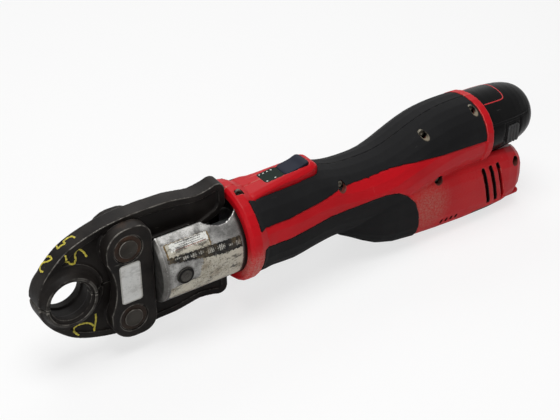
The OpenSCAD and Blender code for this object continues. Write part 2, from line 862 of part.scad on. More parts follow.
module housing_ribs() {
    intersection() {
        body_form(-wall / 2);
        union() {
            for (s = rib_shares)
                translate([tube_x + s * tube_l, -far_cut, -far_cut])
                    cube([rib_t, 2 * far_cut, 2 * far_cut]);
            translate([motor_box_x + motor_rib_share * motor_box_l, -far_cut, -far_cut])
                cube([rib_t, 2 * far_cut, far_cut - motor_drop / 2]);
            translate([terminal_x + terminal_l / 2 - rib_t / 2, -far_cut, -terminal_low])
                cube([rib_t, 2 * far_cut, far_cut]);
            at_screws()
                across_y(boss_r, 0, far_cut);
        }
    }
}
module stick_plan(grow) {
    hull()
        for (i = [0:2])
            rotate(120 * i - 90)
                translate([cell_ring, 0])
                    circle(r = stick_r + grow);
}
// Turns a drawing in Z and Y to run along X about the battery axis
module along_battery(x0, x1) {
    translate([x0, 0, battery_rise])
        rotate([0, 90, 0])
            rotate(90)
                linear_extrude(x1 - x0)
                    children();
}
module housing_half(screwed) {
    $fn = 32;
    intersection() {
        difference() {
            union() {
                difference() {
                    union() {
                        body_form(0);
                        bezel();
                        foot();
                    }
                    tube_form(-wall);
                    motor_box_form(-wall);
                }
                intersection() {
                    difference() {
                        tube_form(band_proud);
                        tube_form(-wall);
                    }
                    translate([tube_x + band_shares[0] * tube_l, -far_cut, -far_cut])
                        cube([(band_shares[1] - band_shares[0]) * tube_l, 2 * far_cut, 2 * far_cut]);
                }
                housing_ribs();
                intersection() {
                    motor_box_form(-wall / 2);
                    translate([0, 0, battery_rise])
                        along_x(battery_d / 2 + clear_gap + cradle_t, cap_x - clear_gap - cradle_t, cap_x + 2 * cap_l);
                }
            }
            along_x(head_r + seat_gap, collar_reach - over, head_back);
            along_x(flange_r + seat_gap, head_back - over, head_back + flange_t + seat_gap);
            along_x(cyl_r + seat_gap, head_back, gear_x);
            translate([0, 0, -motor_drop]) {
                along_x(pump_low_r + seat_gap, pump_x, gear_x + over);
                along_x(motor_r + seat_gap, gear_x, motor_x + motor_l + over);
            }
            along_battery(stick_x - over, cap_x + over)
                stick_plan(clear_gap);
            translate([0, 0, battery_rise])
                along_x(battery_d / 2 + clear_gap, cap_x - clear_gap, cap_x + 2 * cap_l);
            difference() {
                union() {
                    top_region(0);
                    bottom_region();
                }
                body_form(grip_proud - grip_t - touch_gap);
                translate([tube_x + band_shares[0] * tube_l, -far_cut, -far_cut])
                    cube([far_cut, 2 * far_cut, 2 * far_cut]);
            }
            side_vent_cuts();
            mirror([0, 1, 0])
                side_vent_cuts();
            low_vent_cuts();
            mirror([0, 1, 0])
                low_vent_cuts();
            if (screwed)
                at_screws() {
                    across_y(screw_r, -over, far_cut);
                    across_y(screw_well_r, -far_cut, 0);
                }
            else
                for (s = screw_shares)
                    translate([tube_x + s[0] * tube_l, 0, s[1] * tube_top])
                        across_y(screw_r, -shank_end(s) - clear_gap, over, $fn = 16);
            translate([trigger_x, 0, cyl_r])
                linear_extrude(far_cut)
                    offset(delta = clear_gap)
                        rounded_pad(trigger_l, 2 * trigger_r, trigger_corner);
            translate([window_x, 0, window_top - window_t])
                linear_extrude(far_cut)
                    rounded_pad(window_l + trigger_l / 2, window_w, window_r);
            translate([window_x + window_r, 0, cyl_r])
                linear_extrude(far_cut)
                    rounded_pad(window_l - 2 * window_r, window_w - 2 * window_r, window_r);
            translate([terminal_x, -terminal_w / 2 - seat_gap, battery_rise - terminal_h / 2 - seat_gap])
                cube([terminal_l, terminal_w + 2 * seat_gap, terminal_h + 2 * seat_gap]);
        }
        near_half();
    }
}
module near_housing() {
    color("#c4151c")
        housing_half(true);
}
module far_housing() {
    color("#c4151c")
        mirror([0, 1, 0])
            housing_half(false);
}
module grip_layer() {
    difference() {
        body_form(grip_proud);
        body_form(grip_proud - grip_t);
    }
}
module top_grip() {
    intersection() {
        grip_layer();
        translate([0, 0, touch_gap])
            top_region(-touch_gap);
        translate([-touch_gap, -touch_gap / 2, 0])
            near_half();
        translate([0, -far_cut, -far_cut])
            cube([tube_x + band_shares[0] * tube_l - touch_gap, 2 * far_cut, 2 * far_cut]);
    }
}
module near_top_grip() {
    color("#1d1e20")
        difference() {
            top_grip();
            at_screws() {
                across_y(screw_well_r, -far_cut, 0);
                across_y(screw_r + clear_gap, -over, far_cut);
            }
        }
}
module far_top_grip() {
    color("#1d1e20")
        mirror([0, 1, 0])
            top_grip();
}
module bottom_grip() {
    intersection() {
        grip_layer();
        translate([0, 0, -touch_gap])
            bottom_region();
        translate([0, -touch_gap / 2, 0])
            near_half();
    }
}
module near_bottom_grip() {
    color("#1d1e20")
        bottom_grip();
}
module far_bottom_grip() {
    color("#1d1e20")
        mirror([0, 1, 0])
            bottom_grip();
}
module housing_screws() {
    color("#a9a594")
        for (s = screw_shares)
            translate([tube_x + s[0] * tube_l, -s[2] * tube_w / 2, s[1] * tube_top])
                difference() {
                    union() {
                        across_y(screw_head_r, -screw_head_t, -touch_gap);
                        across_y(screw_r - run_gap, -screw_head_t / 2, shank_l(s));
                    }
                    across_y(screw_r, -screw_head_t - over, -screw_head_t / 2);
                }
}

// Trigger, switch and indicator
module trigger() {
    color("#20242e")
        difference() {
            union() {
                intersection() {
                    translate([trigger_x, 0, trigger_low])
                        linear_extrude(far_cut)
                            rounded_pad(trigger_l, 2 * trigger_r, trigger_corner);
                    translate([trigger_x, 0, trigger_roof])
                        plate(-2 * trigger_r, 2 * trigger_r)
                            polygon(concat(
                                smooth([for (s = trigger_top_shares) [s[0] * trigger_l, s[1] * trigger_rise]], curve_steps),
                                [[trigger_l, trigger_low - trigger_roof], [0, trigger_low - trigger_roof]]
                            ));
                }
                translate([trigger_x - trigger_tab, -trigger_tab_w / 2, trigger_low])
                    cube([trigger_l + 2 * trigger_tab, trigger_tab_w, trigger_t]);
            }
            translate([trigger_x + trigger_t, 0, trigger_low - over])
                linear_extrude(trigger_roof - trigger_low + over)
                    rounded_pad(trigger_l - 2 * trigger_t, 2 * (trigger_r - trigger_t), trigger_corner - trigger_t);
        }
}
switch_top = cyl_r + seat_gap + switch_t;
module trigger_spring() {
    color("#7d7f82")
        translate([switch_x + switch_l / 2, 0, switch_top + run_gap])
            coil(trigger_spring_r, trigger_spring_wire, trigger_roof - switch_top - touch_gap, trigger_spring_turns);
}
module switch_unit() {
    color("#26282c")
        translate([switch_x, -switch_w / 2, cyl_r + seat_gap]) {
            cube([switch_l, switch_w, switch_t]);
            translate([switch_l / 2, switch_w / 2, 0])
                cylinder(r = stem_r, h = switch_t + stem_h);
        }
}
module indicator_window() {
    color("#16221f")
        translate([window_x, 0, window_top - window_t + touch_gap])
            linear_extrude(window_t - touch_gap)
                offset(delta = -touch_gap)
                    rounded_pad(window_l, window_w, window_r);
}
module indicator_lights() {
    color("#d8dccf")
        for (i = [0:lights - 1])
            translate([window_x + window_l / 2, (i - (lights - 1) / 2) * light_pitch, cyl_r + clear_gap + board_t])
                cylinder(d = light_d, h = window_top - window_t - cyl_r - clear_gap - board_t, $fn = 16);
}
module control_board() {
    color("#1f5c3a")
        translate([board_x, -board_w / 2, cyl_r + clear_gap])
            cube([board_l, board_w, board_t]);
}

// Pump, gear case and motor
module pump_block() {
    color("#9a9ca0")
        difference() {
            union() {
                along_x(pump_r, pump_x, gear_x);
                translate([0, 0, -motor_drop])
                    along_x(pump_low_r, pump_x, gear_x);
                translate([pump_x, -pump_neck_w / 2, -motor_drop])
                    cube([pump_l, pump_neck_w, motor_drop]);
            }
            translate([0, 0, -motor_drop]) {
                along_x(shaft_r + run_gap, pump_x + cap_t, gear_x + over);
                along_x(eccentric_pocket_r, gear_x - eccentric_pocket_l - cap_t, gear_x - cap_t);
            }
            translate([gear_x - cap_t - eccentric_pocket_l / 2, 0, -motor_drop])
                cylinder(r = plunger_r + run_gap, h = motor_drop - plunger_r);
            translate([pump_x + pump_l / 2, 0, valve_seat])
                cylinder(r = valve_r + run_gap, h = far_cut);
        }
}
module eccentric_shaft() {
    color("#6c6f73")
        translate([0, 0, -motor_drop]) {
            along_x(shaft_r, pump_x + cap_t + touch_gap, gear_x + coupler_l);
            translate([0, 0, -eccentric_off])
                along_x(eccentric_r, gear_x - cap_t - (eccentric_pocket_l + eccentric_l) / 2,
                        gear_x - cap_t - (eccentric_pocket_l - eccentric_l) / 2);
        }
}
module pump_plunger() {
    color("#b4b6b8")
        translate([gear_x - cap_t - eccentric_pocket_l / 2, 0, eccentric_r + eccentric_off + clear_gap - motor_drop])
            cylinder(r = plunger_r, h = plunger_l);
}
module relief_valve() {
    color("#b58a3c")
        translate([pump_x + pump_l / 2, 0, valve_seat + touch_gap])
            cylinder(r = valve_r, h = valve_l - touch_gap, $fn = 24);
}
module oil_bladder() {
    color("#17181a")
        translate([pump_x - bladder_l - clear_gap, 0, -bladder_low])
            difference() {
                linear_extrude(bladder_low - bladder_top)
                    rounded_pad(bladder_l, bladder_w, bladder_round);
                translate([wall / 2, 0, wall / 2])
                    linear_extrude(bladder_low - bladder_top - wall)
                        rounded_pad(bladder_l - wall, bladder_w - wall, bladder_round - wall / 2);
            }
}
module gear_case() {
    color("#7b7e82")
        translate([0, 0, -motor_drop])
            difference() {
                along_x(motor_r, gear_x + touch_gap, motor_x - touch_gap);
                along_x(shaft_r + run_gap, gear_x, gear_x + coupler_l + touch_gap);
                along_x(motor_shaft_r + run_gap, motor_x - coupler_l - touch_gap, motor_x);
            }
}
module motor_can() {
    color("#3c3f44")
        translate([0, 0, -motor_drop])
            difference() {
                along_x(motor_r, motor_x, motor_x + motor_l);
                along_x(motor_r - can_t, motor_x + rotor_end, motor_x + motor_l - rotor_end);
                along_x(motor_shaft_r + run_gap, motor_x - over, motor_x + motor_l + over);
            }
}
module motor_rotor() {
    color("#8d5a34")
        translate([0, 0, -motor_drop]) {
            along_x(motor_shaft_r, motor_x - coupler_l, motor_x + motor_l + fan_gap + fan_l);
            along_x(rotor_r, motor_x + rotor_end + over, motor_x + motor_l - rotor_end - over);
        }
}
module cooling_fan() {
    color("#2a2c30")
        translate([motor_x + motor_l + fan_gap, 0, -motor_drop])
            rotate([0, 90, 0])
                difference() {
                    union() {
                        cylinder(r = fan_hub_r, h = fan_l);
                        intersection() {
                            cylinder(r = fan_r, h = fan_l);
                            for (i = [0:fan_blades - 1])
                                rotate(360 * i / fan_blades)
                                    translate([fan_hub_r - over, 0, fan_l / 2])
                                        rotate([fan_pitch_deg, 0, 0])
                                            translate([0, -fan_blade_t / 2, -fan_l])
                                                cube([fan_r, fan_blade_t, 2 * fan_l]);
                        }
                    }
                    translate([0, 0, -over])
                        cylinder(r = motor_shaft_r + run_gap, h = fan_l + 2 * over);
                }
}

// Battery
module terminal_block() {
    color("#2b2b2d")
        translate([terminal_x, -terminal_w / 2, battery_rise - terminal_h / 2])
            cube([terminal_l, terminal_w, terminal_h]);
}
cap_edge = smooth([for (s = cap_shares) [s[1] * battery_d / 2, cap_x + s[0] * cap_l]], curve_steps / 2);
module at_cells() {
    for (i = [0:2])
        rotate([120 * i - 90, 0, 0])
            translate([0, cell_ring, 0])
                children();
}
module latch_pocket(grow, depth, out) {
    translate([latch_x - grow, 0, latch_z])
        plate(latch_under - battery_d / 2 - out, latch_under - battery_d / 2 + depth)
            rounded_pad(latch_l + 2 * grow, latch_w + 2 * grow, latch_round + grow);
}
module battery_case() {
    color("#17181a")
        difference() {
            union() {
                translate([0, 0, battery_rise])
                    turned_x(concat([[0, cap_x]], cap_edge, [[0, cap_x + cap_l]]));
                along_battery(stick_x, cap_x + over)
                    stick_plan(0);
            }
            translate([0, 0, battery_rise])
                at_cells()
                    along_x(cell_r + cell_gap, cell_x, cell_x + cell_l + clear_gap);
            for (side = [0, 1])
                mirror([0, side, 0])
                    latch_pocket(seat_gap, latch_depth + latch_travel + clear_gap, over);
        }
}
module battery_cells() {
    color("#3f6fae")
        translate([0, 0, battery_rise])
            at_cells()
                along_x(cell_r, cell_x + touch_gap, cell_x + cell_l);
}
module battery_contacts() {
    color("#c9a24a")
        for (i = [-1:1])
            translate([stick_x - contact_t, i * contact_pitch - contact_w / 2, battery_rise - contact_h / 2])
                cube([contact_t, contact_w, contact_h]);
}
module latch_button() {
    difference() {
        latch_pocket(0, latch_depth, 0);
        for (i = [1:latch_ribs])
            translate([latch_x + latch_l * i / (latch_ribs + 1) - latch_rib_w / 2, -far_cut, latch_z - latch_w / 2])
                cube([latch_rib_w, far_cut - battery_d / 2 + latch_under + latch_rib_depth, latch_w]);
    }
}
module near_latch_button() {
    color("#2c2e31")
        latch_button();
}
module far_latch_button() {
    color("#2c2e31")
        mirror([0, 1, 0])
            latch_button();
}

upper_jaw_arm();
lower_jaw_arm();
near_side_plate();
far_side_plate();
jaw_pivot_pins();
pin_retaining_rings();
jaw_spring();
fork_head();
jaw_retaining_pin();
ram();
upper_roller();
lower_roller();
roller_pins();
rod_guide();
ram_return_spring();
piston_seal();
hydraulic_cylinder();
near_housing();
far_housing();
near_top_grip();
far_top_grip();
near_bottom_grip();
far_bottom_grip();
housing_screws();
trigger();
trigger_spring();
switch_unit();
indicator_window();
indicator_lights();
control_board();
pump_block();
eccentric_shaft();
pump_plunger();
relief_valve();
oil_bladder();
gear_case();
motor_can();
motor_rotor();
cooling_fan();
terminal_block();
battery_case();
battery_cells();
battery_contacts();
near_latch_button();
far_latch_button();
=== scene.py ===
# Looks of the cordless press tool: camera, light, dressed pieces and procedural materials.
import json
import math

import bmesh
import bpy
import numpy as np
from mathutils import Matrix, Vector
from mathutils.bvhtree import BVHTree


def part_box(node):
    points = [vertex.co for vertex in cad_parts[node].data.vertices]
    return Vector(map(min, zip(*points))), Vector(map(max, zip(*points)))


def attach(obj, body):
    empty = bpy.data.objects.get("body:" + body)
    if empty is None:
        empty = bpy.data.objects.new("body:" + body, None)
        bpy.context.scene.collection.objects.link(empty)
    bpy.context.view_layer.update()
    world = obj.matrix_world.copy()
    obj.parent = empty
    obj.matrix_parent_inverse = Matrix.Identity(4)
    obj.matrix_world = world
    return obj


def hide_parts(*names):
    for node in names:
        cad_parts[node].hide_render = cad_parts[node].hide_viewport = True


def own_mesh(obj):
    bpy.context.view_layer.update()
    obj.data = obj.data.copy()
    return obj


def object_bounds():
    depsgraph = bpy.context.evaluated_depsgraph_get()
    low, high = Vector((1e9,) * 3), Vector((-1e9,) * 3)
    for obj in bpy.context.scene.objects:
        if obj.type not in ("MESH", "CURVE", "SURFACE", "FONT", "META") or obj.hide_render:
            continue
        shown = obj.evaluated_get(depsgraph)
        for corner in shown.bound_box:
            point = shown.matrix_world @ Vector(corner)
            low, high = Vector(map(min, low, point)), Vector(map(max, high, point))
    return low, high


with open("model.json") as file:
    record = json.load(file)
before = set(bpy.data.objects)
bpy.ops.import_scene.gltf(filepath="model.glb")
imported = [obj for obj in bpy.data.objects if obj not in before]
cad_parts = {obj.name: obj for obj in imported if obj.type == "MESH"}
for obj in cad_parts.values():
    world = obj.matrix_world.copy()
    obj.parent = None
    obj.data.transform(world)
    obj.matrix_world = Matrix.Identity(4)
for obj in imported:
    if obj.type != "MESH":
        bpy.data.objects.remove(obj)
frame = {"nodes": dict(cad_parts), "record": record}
CAD_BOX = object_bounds()
NODES = frame["nodes"]
BODIES = frame["record"]["behaviour"]["bodies"]
BODY_OF = {node: body for body, nodes in BODIES.items() for node in nodes}
SLOT_OF = {s["node"]: s["material_slot"] for s in frame["record"]["subparts"]}
SCENE = bpy.context.scene
MM = 0.001


# Camera at the photograph's place: the image is 560 pixels wide
IMAGE_W = 560
FOCAL_PX = 1163.42
CAMERA_TILT = 0.584
CAMERA_TURN = 0.6028
CAMERA_PLACE = (-0.2018, -0.5154, 0.41427)
SENSOR_W = 36
CLIP = (0.01, 50)


def make_camera():
    data = bpy.data.cameras.new("camera")
    data.sensor_width = SENSOR_W
    data.lens = FOCAL_PX / IMAGE_W * data.sensor_width
    data.clip_start, data.clip_end = CLIP
    cam = bpy.data.objects.new("camera", data)
    SCENE.collection.objects.link(cam)
    flat = math.cos(CAMERA_TILT)
    back = Vector((-math.sin(CAMERA_TURN) * flat, -math.cos(CAMERA_TURN) * flat, math.sin(CAMERA_TILT)))
    right = Vector((math.cos(CAMERA_TURN), -math.sin(CAMERA_TURN), 0))
    turn = Matrix((right, back.cross(right), back)).transposed().to_4x4()
    cam.matrix_world = Matrix.Translation(CAMERA_PLACE) @ turn
    SCENE.camera = cam


# Node trees of materials, with short calls for the nodes in use. Noise scales are per metre of the piece,
# a band rises softly from 0 to its top between two values, and shares lie between 0 and 1.
class Looks:
    def __init__(self, name):
        self.mat = bpy.data.materials.new(name)
        self.mat.use_nodes = True
        self.tree = self.mat.node_tree
        self.bsdf = self.tree.nodes["Principled BSDF"]
        self.coord = self.add("ShaderNodeTexCoord").outputs["Object"]

    def add(self, kind, **props):
        node = self.tree.nodes.new(kind)
        for key, value in props.items():
            setattr(node, key, value)
        return node

    def put(self, socket, value):
        if isinstance(value, bpy.types.NodeSocket):
            self.tree.links.new(value, socket)
        elif hasattr(socket.default_value, "__len__") and len(socket.default_value) == 4 and len(value) == 3:
            socket.default_value = (*value, 1)
        else:
            socket.default_value = value

    def noise(self, scale, detail=4.0, rough=0.55, seed=0.0, stretch=None, turn=0.0):
        node = self.add("ShaderNodeTexNoise", noise_dimensions="4D")
        vector = self.coord
        if stretch:
            mapping = self.add("ShaderNodeMapping")
            self.put(mapping.inputs["Vector"], self.coord)
            mapping.inputs["Scale"].default_value = stretch
            mapping.inputs["Rotation"].default_value = (0, turn, turn / 2)
            vector = mapping.outputs["Vector"]
        self.put(node.inputs["Vector"], vector)
        node.inputs["W"].default_value = seed
        node.inputs["Scale"].default_value = scale
        node.inputs["Detail"].default_value = detail
        node.inputs["Roughness"].default_value = rough
        return node.outputs["Fac"]

    def attribute(self, name, output="Fac"):
        return self.add("ShaderNodeAttribute", attribute_name=name).outputs[output]

    def math(self, operation, a, b=0.0):
        node = self.add("ShaderNodeMath", operation=operation)
        self.put(node.inputs[0], a)
        self.put(node.inputs[1], b)
        return node.outputs[0]

    def band(self, value, low, high, top=1.0):
        node = self.add("ShaderNodeMapRange", interpolation_type="SMOOTHSTEP")
        self.put(node.inputs["Value"], value)
        node.inputs["From Min"].default_value = low
        node.inputs["From Max"].default_value = high
        node.inputs["To Max"].default_value = top
        return node.outputs["Result"]

    def inverted(self, value):
        return self.math("SUBTRACT", 1.0, value)

    def near(self, point_mm, inner_mm, outer_mm):
        node = self.add("ShaderNodeVectorMath", operation="DISTANCE")
        self.put(node.inputs[0], self.coord)
        node.inputs[1].default_value = [v * MM for v in point_mm]
        return self.inverted(self.band(node.outputs["Value"], inner_mm * MM, outer_mm * MM))

    def axis(self, name):
        node = self.add("ShaderNodeSeparateXYZ")
        self.put(node.inputs[0], self.coord)
        return node.outputs[name]

    def mix(self, factor, a, b):
        node = self.add("ShaderNodeMix", data_type="RGBA")
        self.put(node.inputs["Factor"], factor)
        self.put(node.inputs[6], a)
        self.put(node.inputs[7], b)
        return node.outputs[2]

    def joined(self, operation, values):
        out = values[0]
        for value in values[1:]:
            out = self.math(operation, out, value)
        return out

    def times(self, *values):
        return self.joined("MULTIPLY", values)

    def total(self, *values):
        return self.joined("ADD", values)

    def most(self, *values):
        return self.joined("MAXIMUM", values)

    def bump(self, height, strength, distance_mm):
        node = self.add("ShaderNodeBump")
        node.inputs["Strength"].default_value = strength
        node.inputs["Distance"].default_value = distance_mm * MM
        self.put(node.inputs["Height"], height)
        return node.outputs["Normal"]

    def done(self, color, rough, metal, normal, specular=None):
        self.put(self.bsdf.inputs["Base Color"], color)
        self.put(self.bsdf.inputs["Roughness"], rough)
        self.put(self.bsdf.inputs["Metallic"], metal)
        self.put(self.bsdf.inputs["Normal"], normal)
        if specular is not None:
            self.bsdf.inputs["Specular IOR Level"].default_value = specular
        return self.mat


# Forged steel: blotches, rust stains, worn edges and nicks, and on the jaw arms a split painted dark as shade
WORN_EDGE = (0.26, 0.245, 0.22)
NICK = (0.15, 0.14, 0.125)
# The jaw's split: half width of the gap painted dark as shade and of the paler lip beside it, the lip ending
# behind the nose
SPLIT_GAP_MM = (0.2, 0.45)
SPLIT_LIP_MM = (0.9, 1.5)
SPLIT_END_MM = (0.0, 4.0)
SPLIT_SHADE = (0.002, 0.002, 0.002)
SPLIT_PALE = (0.12, 0.112, 0.1)


def mm_band(k, value, ends_mm):
    return k.band(value, ends_mm[0] * MM, ends_mm[1] * MM)


def forged(name, dark, light, rust, rust_level, split=False):
    k = Looks(name)
    edge = k.attribute("edge")
    blotch = k.noise(55, 5, seed=1)
    fine = k.noise(1400, 3, seed=2)
    color = k.mix(k.band(blotch, 0.35, 0.65), dark, light)
    stain = k.times(k.band(k.noise(38, 6, 0.65, seed=3), rust_level, rust_level + 0.14), 0.8)
    color = k.mix(stain, color, rust)
    wear = k.times(k.band(edge, 0.05, 0.15), k.band(k.noise(190, 4, 0.6, seed=4), 0.36, 0.6), 0.75)
    color = k.mix(wear, color, WORN_EDGE)
    nick = k.band(k.noise(520, 2, 0.5, seed=5, stretch=(0.3, 1, 1), turn=0.5), 0.7, 0.76, 0.35)
    color = k.mix(nick, color, NICK)
    if split:
        away = k.math("ABSOLUTE", k.axis("Z"))
        lip = k.times(k.inverted(mm_band(k, away, SPLIT_LIP_MM)), k.band(blotch, 0.3, 0.55), 0.7)
        nose = k.inverted(mm_band(k, k.axis("X"), SPLIT_END_MM))
        color = k.mix(k.times(lip, nose), color, SPLIT_PALE)
        # the split's gap painted near black as shade
        color = k.mix(mm_band(k, away, SPLIT_GAP_MM), SPLIT_SHADE, color)
    metal = k.total(k.times(wear, 0.7), 0.1)
    rough = k.math("SUBTRACT", k.total(0.4, k.times(fine, 0.24)), k.times(wear, 0.12))
    height = k.total(k.times(fine, 0.5), k.times(blotch, 0.8))
    return k.done(color, rough, metal, k.bump(height, 0.35, 0.3), specular=0.1)


# Bare steel of the head: pits, darker at the front end, a dark corner behind the label and painted shadow at
# the back end by the collar
HEAD_FRONT_MM = (55.0, 59.0)
HEAD_BACK_MM = (106.5, 109.5)
HEAD_CORNER_MM = (100, -17.5, 19.5)
PIT = (0.06, 0.057, 0.053)
FRONT_DARK = (0.07, 0.066, 0.06)
CORNER_DARK = (0.075, 0.073, 0.07)
BACK_SHADOW = (0.02, 0.018, 0.016)
BRIGHT_EDGE = (0.72, 0.71, 0.69)


def bare_steel(name, light, dark, rough_level, grime=0.5, head=False):
    k = Looks(name)
    edge = k.attribute("edge")
    blotch = k.noise(70, 6, 0.65, seed=1)
    fine = k.noise(900, 3, seed=2)
    lines = k.noise(700, 2, 0.5, seed=3, stretch=(0.06, 1, 1))
    color = k.mix(k.band(blotch, 0.42, 0.72, grime), light, dark)
    color = k.mix(k.band(k.noise(26, 4, 0.6, seed=6), 0.42, 0.66, grime * 0.6), color, dark)
    color = k.mix(k.band(lines, 0.6, 0.75, 0.35), color, dark)
    scrape = k.noise(210, 7, 0.72, seed=4, stretch=(0.5, 1, 1), turn=0.4)
    color = k.mix(k.band(scrape, 0.54, 0.66, grime * 0.8), color, dark)
    if head:
        color = k.mix(k.band(k.noise(1300, 5, 0.75, seed=8), 0.5, 0.6, 0.5), color, PIT)
        front_end = k.inverted(mm_band(k, k.axis("X"), HEAD_FRONT_MM))
        color = k.mix(k.times(front_end, k.band(blotch, 0.2, 0.5), 0.75), color, FRONT_DARK)
        corner = k.times(k.near(HEAD_CORNER_MM, 5, 15), k.band(blotch, 0.25, 0.5), 0.8)
        color = k.mix(corner, color, CORNER_DARK)
        # the back end by the collar darkened as painted shadow
        color = k.mix(mm_band(k, k.axis("X"), HEAD_BACK_MM), color, BACK_SHADOW)
    color = k.mix(k.times(k.band(edge, 0.05, 0.15), 0.6), color, BRIGHT_EDGE)
    rough = k.total(rough_level, k.times(fine, 0.14), k.times(blotch, 0.16))
    height = k.total(k.times(lines, 0.5), k.times(fine, 0.5))
    return k.done(color, rough, 0.9, k.bump(height, 0.2, 0.1))


# Red housing: scratches all over, scuffs where it rubs, painted shade in wells, vents and a small hole, and
# painted light on the wells' lower walls
RED = ((0.52, 0.003, 0.009), (0.43, 0.0025, 0.0075))
SCUFF = (0.36, 0.22, 0.17)
COLLAR_SCUFF = (0.5, 0.36, 0.32)
PALE_SCRATCH = (0.7, 0.3, 0.27)
PALE_RIM = (0.72, 0.26, 0.22)
RED_WELL_SHADE = (0.01, 0.005, 0.005)
RED_WELL_LIGHT = (0.2, 0.05, 0.035)
# Worn places, and the small hole by the collar's screw that is painted dark as shade: middle, inner and outer
# radius
COLLAR_RUB = ((118, -27, -13), 4, 20)
BEHIND_RUB = ((258, -27, -23), 5, 26)
LOW_RUB = ((300, -28, -30), 15, 45)
COLLAR_HOLE = ((115.9, -17.4, 28.8), 0.6, 0.9)


def red_plastic(name):
    k = Looks(name)
    edge = k.attribute("edge")
    tone = k.noise(22, 4, seed=1)
    grain = k.noise(3000, 2, seed=2)
    color = k.mix(k.band(tone, 0.3, 0.7), *RED)
    scratch = k.band(k.noise(420, 3, 0.6, seed=3, stretch=(1, 1, 0.12), turn=0.35), 0.62, 0.72)
    scuff = k.band(k.noise(800, 8, 0.8, seed=4), 0.42, 0.6)
    collar = k.near(*COLLAR_RUB)
    worn = k.most(collar, k.near(*BEHIND_RUB), k.times(k.near(*LOW_RUB), 0.12))
    color = k.mix(k.times(worn, k.total(k.times(scuff, 0.42), 0.12)), color, SCUFF)
    color = k.mix(k.times(collar, scuff, 0.35), color, COLLAR_SCUFF)
    all_over = k.band(k.noise(16, 4, seed=6), 0.5, 0.75)
    color = k.mix(k.times(scratch, k.most(all_over, worn), 0.25), color, PALE_SCRATCH)
    rim = k.times(k.band(edge, 0.05, 0.16), k.band(k.noise(150, 4, seed=7), 0.36, 0.56), 0.5)
    color = k.mix(rim, color, PALE_RIM)
    # painted shade in the wells, vent slits and the small hole
    color = k.mix(k.most(k.attribute("well"), k.near(*COLLAR_HOLE)), color, RED_WELL_SHADE)
    # painted light on the wells' upward-facing walls
    color = k.mix(k.times(k.attribute("well_painted_light"), 0.5), color, RED_WELL_LIGHT)
    rough = k.total(0.36, k.times(worn, 0.25), k.times(tone, 0.1))
    height = k.total(k.times(grain, 0.5), k.times(scratch, -0.4))
    return k.done(color, rough, 0.0, k.bump(height, 0.22, 0.12), specular=0.15)


# Grips: fine grain, dust in patches, rubbed edges, pale streaks, painted shade in the wells and painted light
# on their lower walls
RUBBER = ((0.0075, 0.0075, 0.008), (0.0125, 0.0125, 0.013))
DUST = (0.06, 0.058, 0.052)
RUBBED = (0.075, 0.072, 0.068)
STREAK = (0.06, 0.06, 0.058)
GRIP_WELL_SHADE = (0.006, 0.006, 0.006)
GRIP_WELL_LIGHT = (0.26, 0.22, 0.16)


def grip_rubber(name):
    k = Looks(name)
    edge = k.attribute("edge")
    grain = k.noise(2600, 3, 0.6, seed=1)
    tone = k.noise(30, 5, seed=2)
    color = k.mix(k.band(tone, 0.35, 0.7), *RUBBER)
    patches = k.band(k.noise(18, 3, seed=4), 0.45, 0.7)
    color = k.mix(k.times(k.band(k.noise(120, 6, 0.7, seed=3), 0.55, 0.75), patches, 0.5), color, DUST)
    rub = k.times(k.band(edge, 0.05, 0.2), k.band(k.noise(160, 3, seed=5), 0.45, 0.65), 0.4)
    color = k.mix(rub, color, RUBBED)
    streak = k.band(k.noise(300, 3, seed=6, stretch=(0.15, 1, 1), turn=0.3), 0.66, 0.74, 0.25)
    color = k.mix(streak, color, STREAK)
    # painted shade in the wells
    color = k.mix(k.attribute("well"), color, GRIP_WELL_SHADE)
    # painted light on the wells' upward-facing walls
    color = k.mix(k.times(k.attribute("well_painted_light"), 0.8), color, GRIP_WELL_LIGHT)
    rough = k.total(0.56, k.times(tone, 0.2))
    return k.done(color, rough, 0.0, k.bump(grain, 0.3, 0.15), specular=0.07)


# Moulded plastic and rubber: grain, a few scratches and paler edges as a painted highlight
def moulded(name, color, light, rough_level, specular, grain_scale=2200):
    k = Looks(name)
    edge = k.attribute("edge")
    tone = k.noise(40, 5, seed=1)
    grain = k.noise(grain_scale, 2, seed=2)
    mixed = k.mix(k.band(tone, 0.35, 0.7), color, light)
    scratch = k.band(k.noise(450, 3, 0.6, seed=3, stretch=(0.12, 1, 1), turn=0.25), 0.66, 0.75, 0.4)
    pale = tuple(min(1.0, v * 2 + 0.05) for v in light)
    mixed = k.mix(scratch, mixed, pale)
    # edges paler as a painted highlight
    mixed = k.mix(k.times(k.band(edge, 0.06, 0.2), 0.3), mixed, pale)
    rough = k.total(rough_level, k.times(tone, 0.12), k.times(scratch, 0.2))
    return k.done(mixed, rough, 0.0, k.bump(grain, 0.15, 0.08), specular=specular)


# Turned face of the pin that holds the jaw: dark rings round its axis, as inner and outer radius; the outer
# ring is painted shade of the gap round the pin
PIN_RINGS_MM = [(1.3, 1.45), (3.7, 5.2)]
RING_EDGE_MM = 0.2
PIN_FACE = ((0.03, 0.028, 0.025), (0.075, 0.07, 0.062))
PIN_RING = (0.006, 0.0055, 0.005)


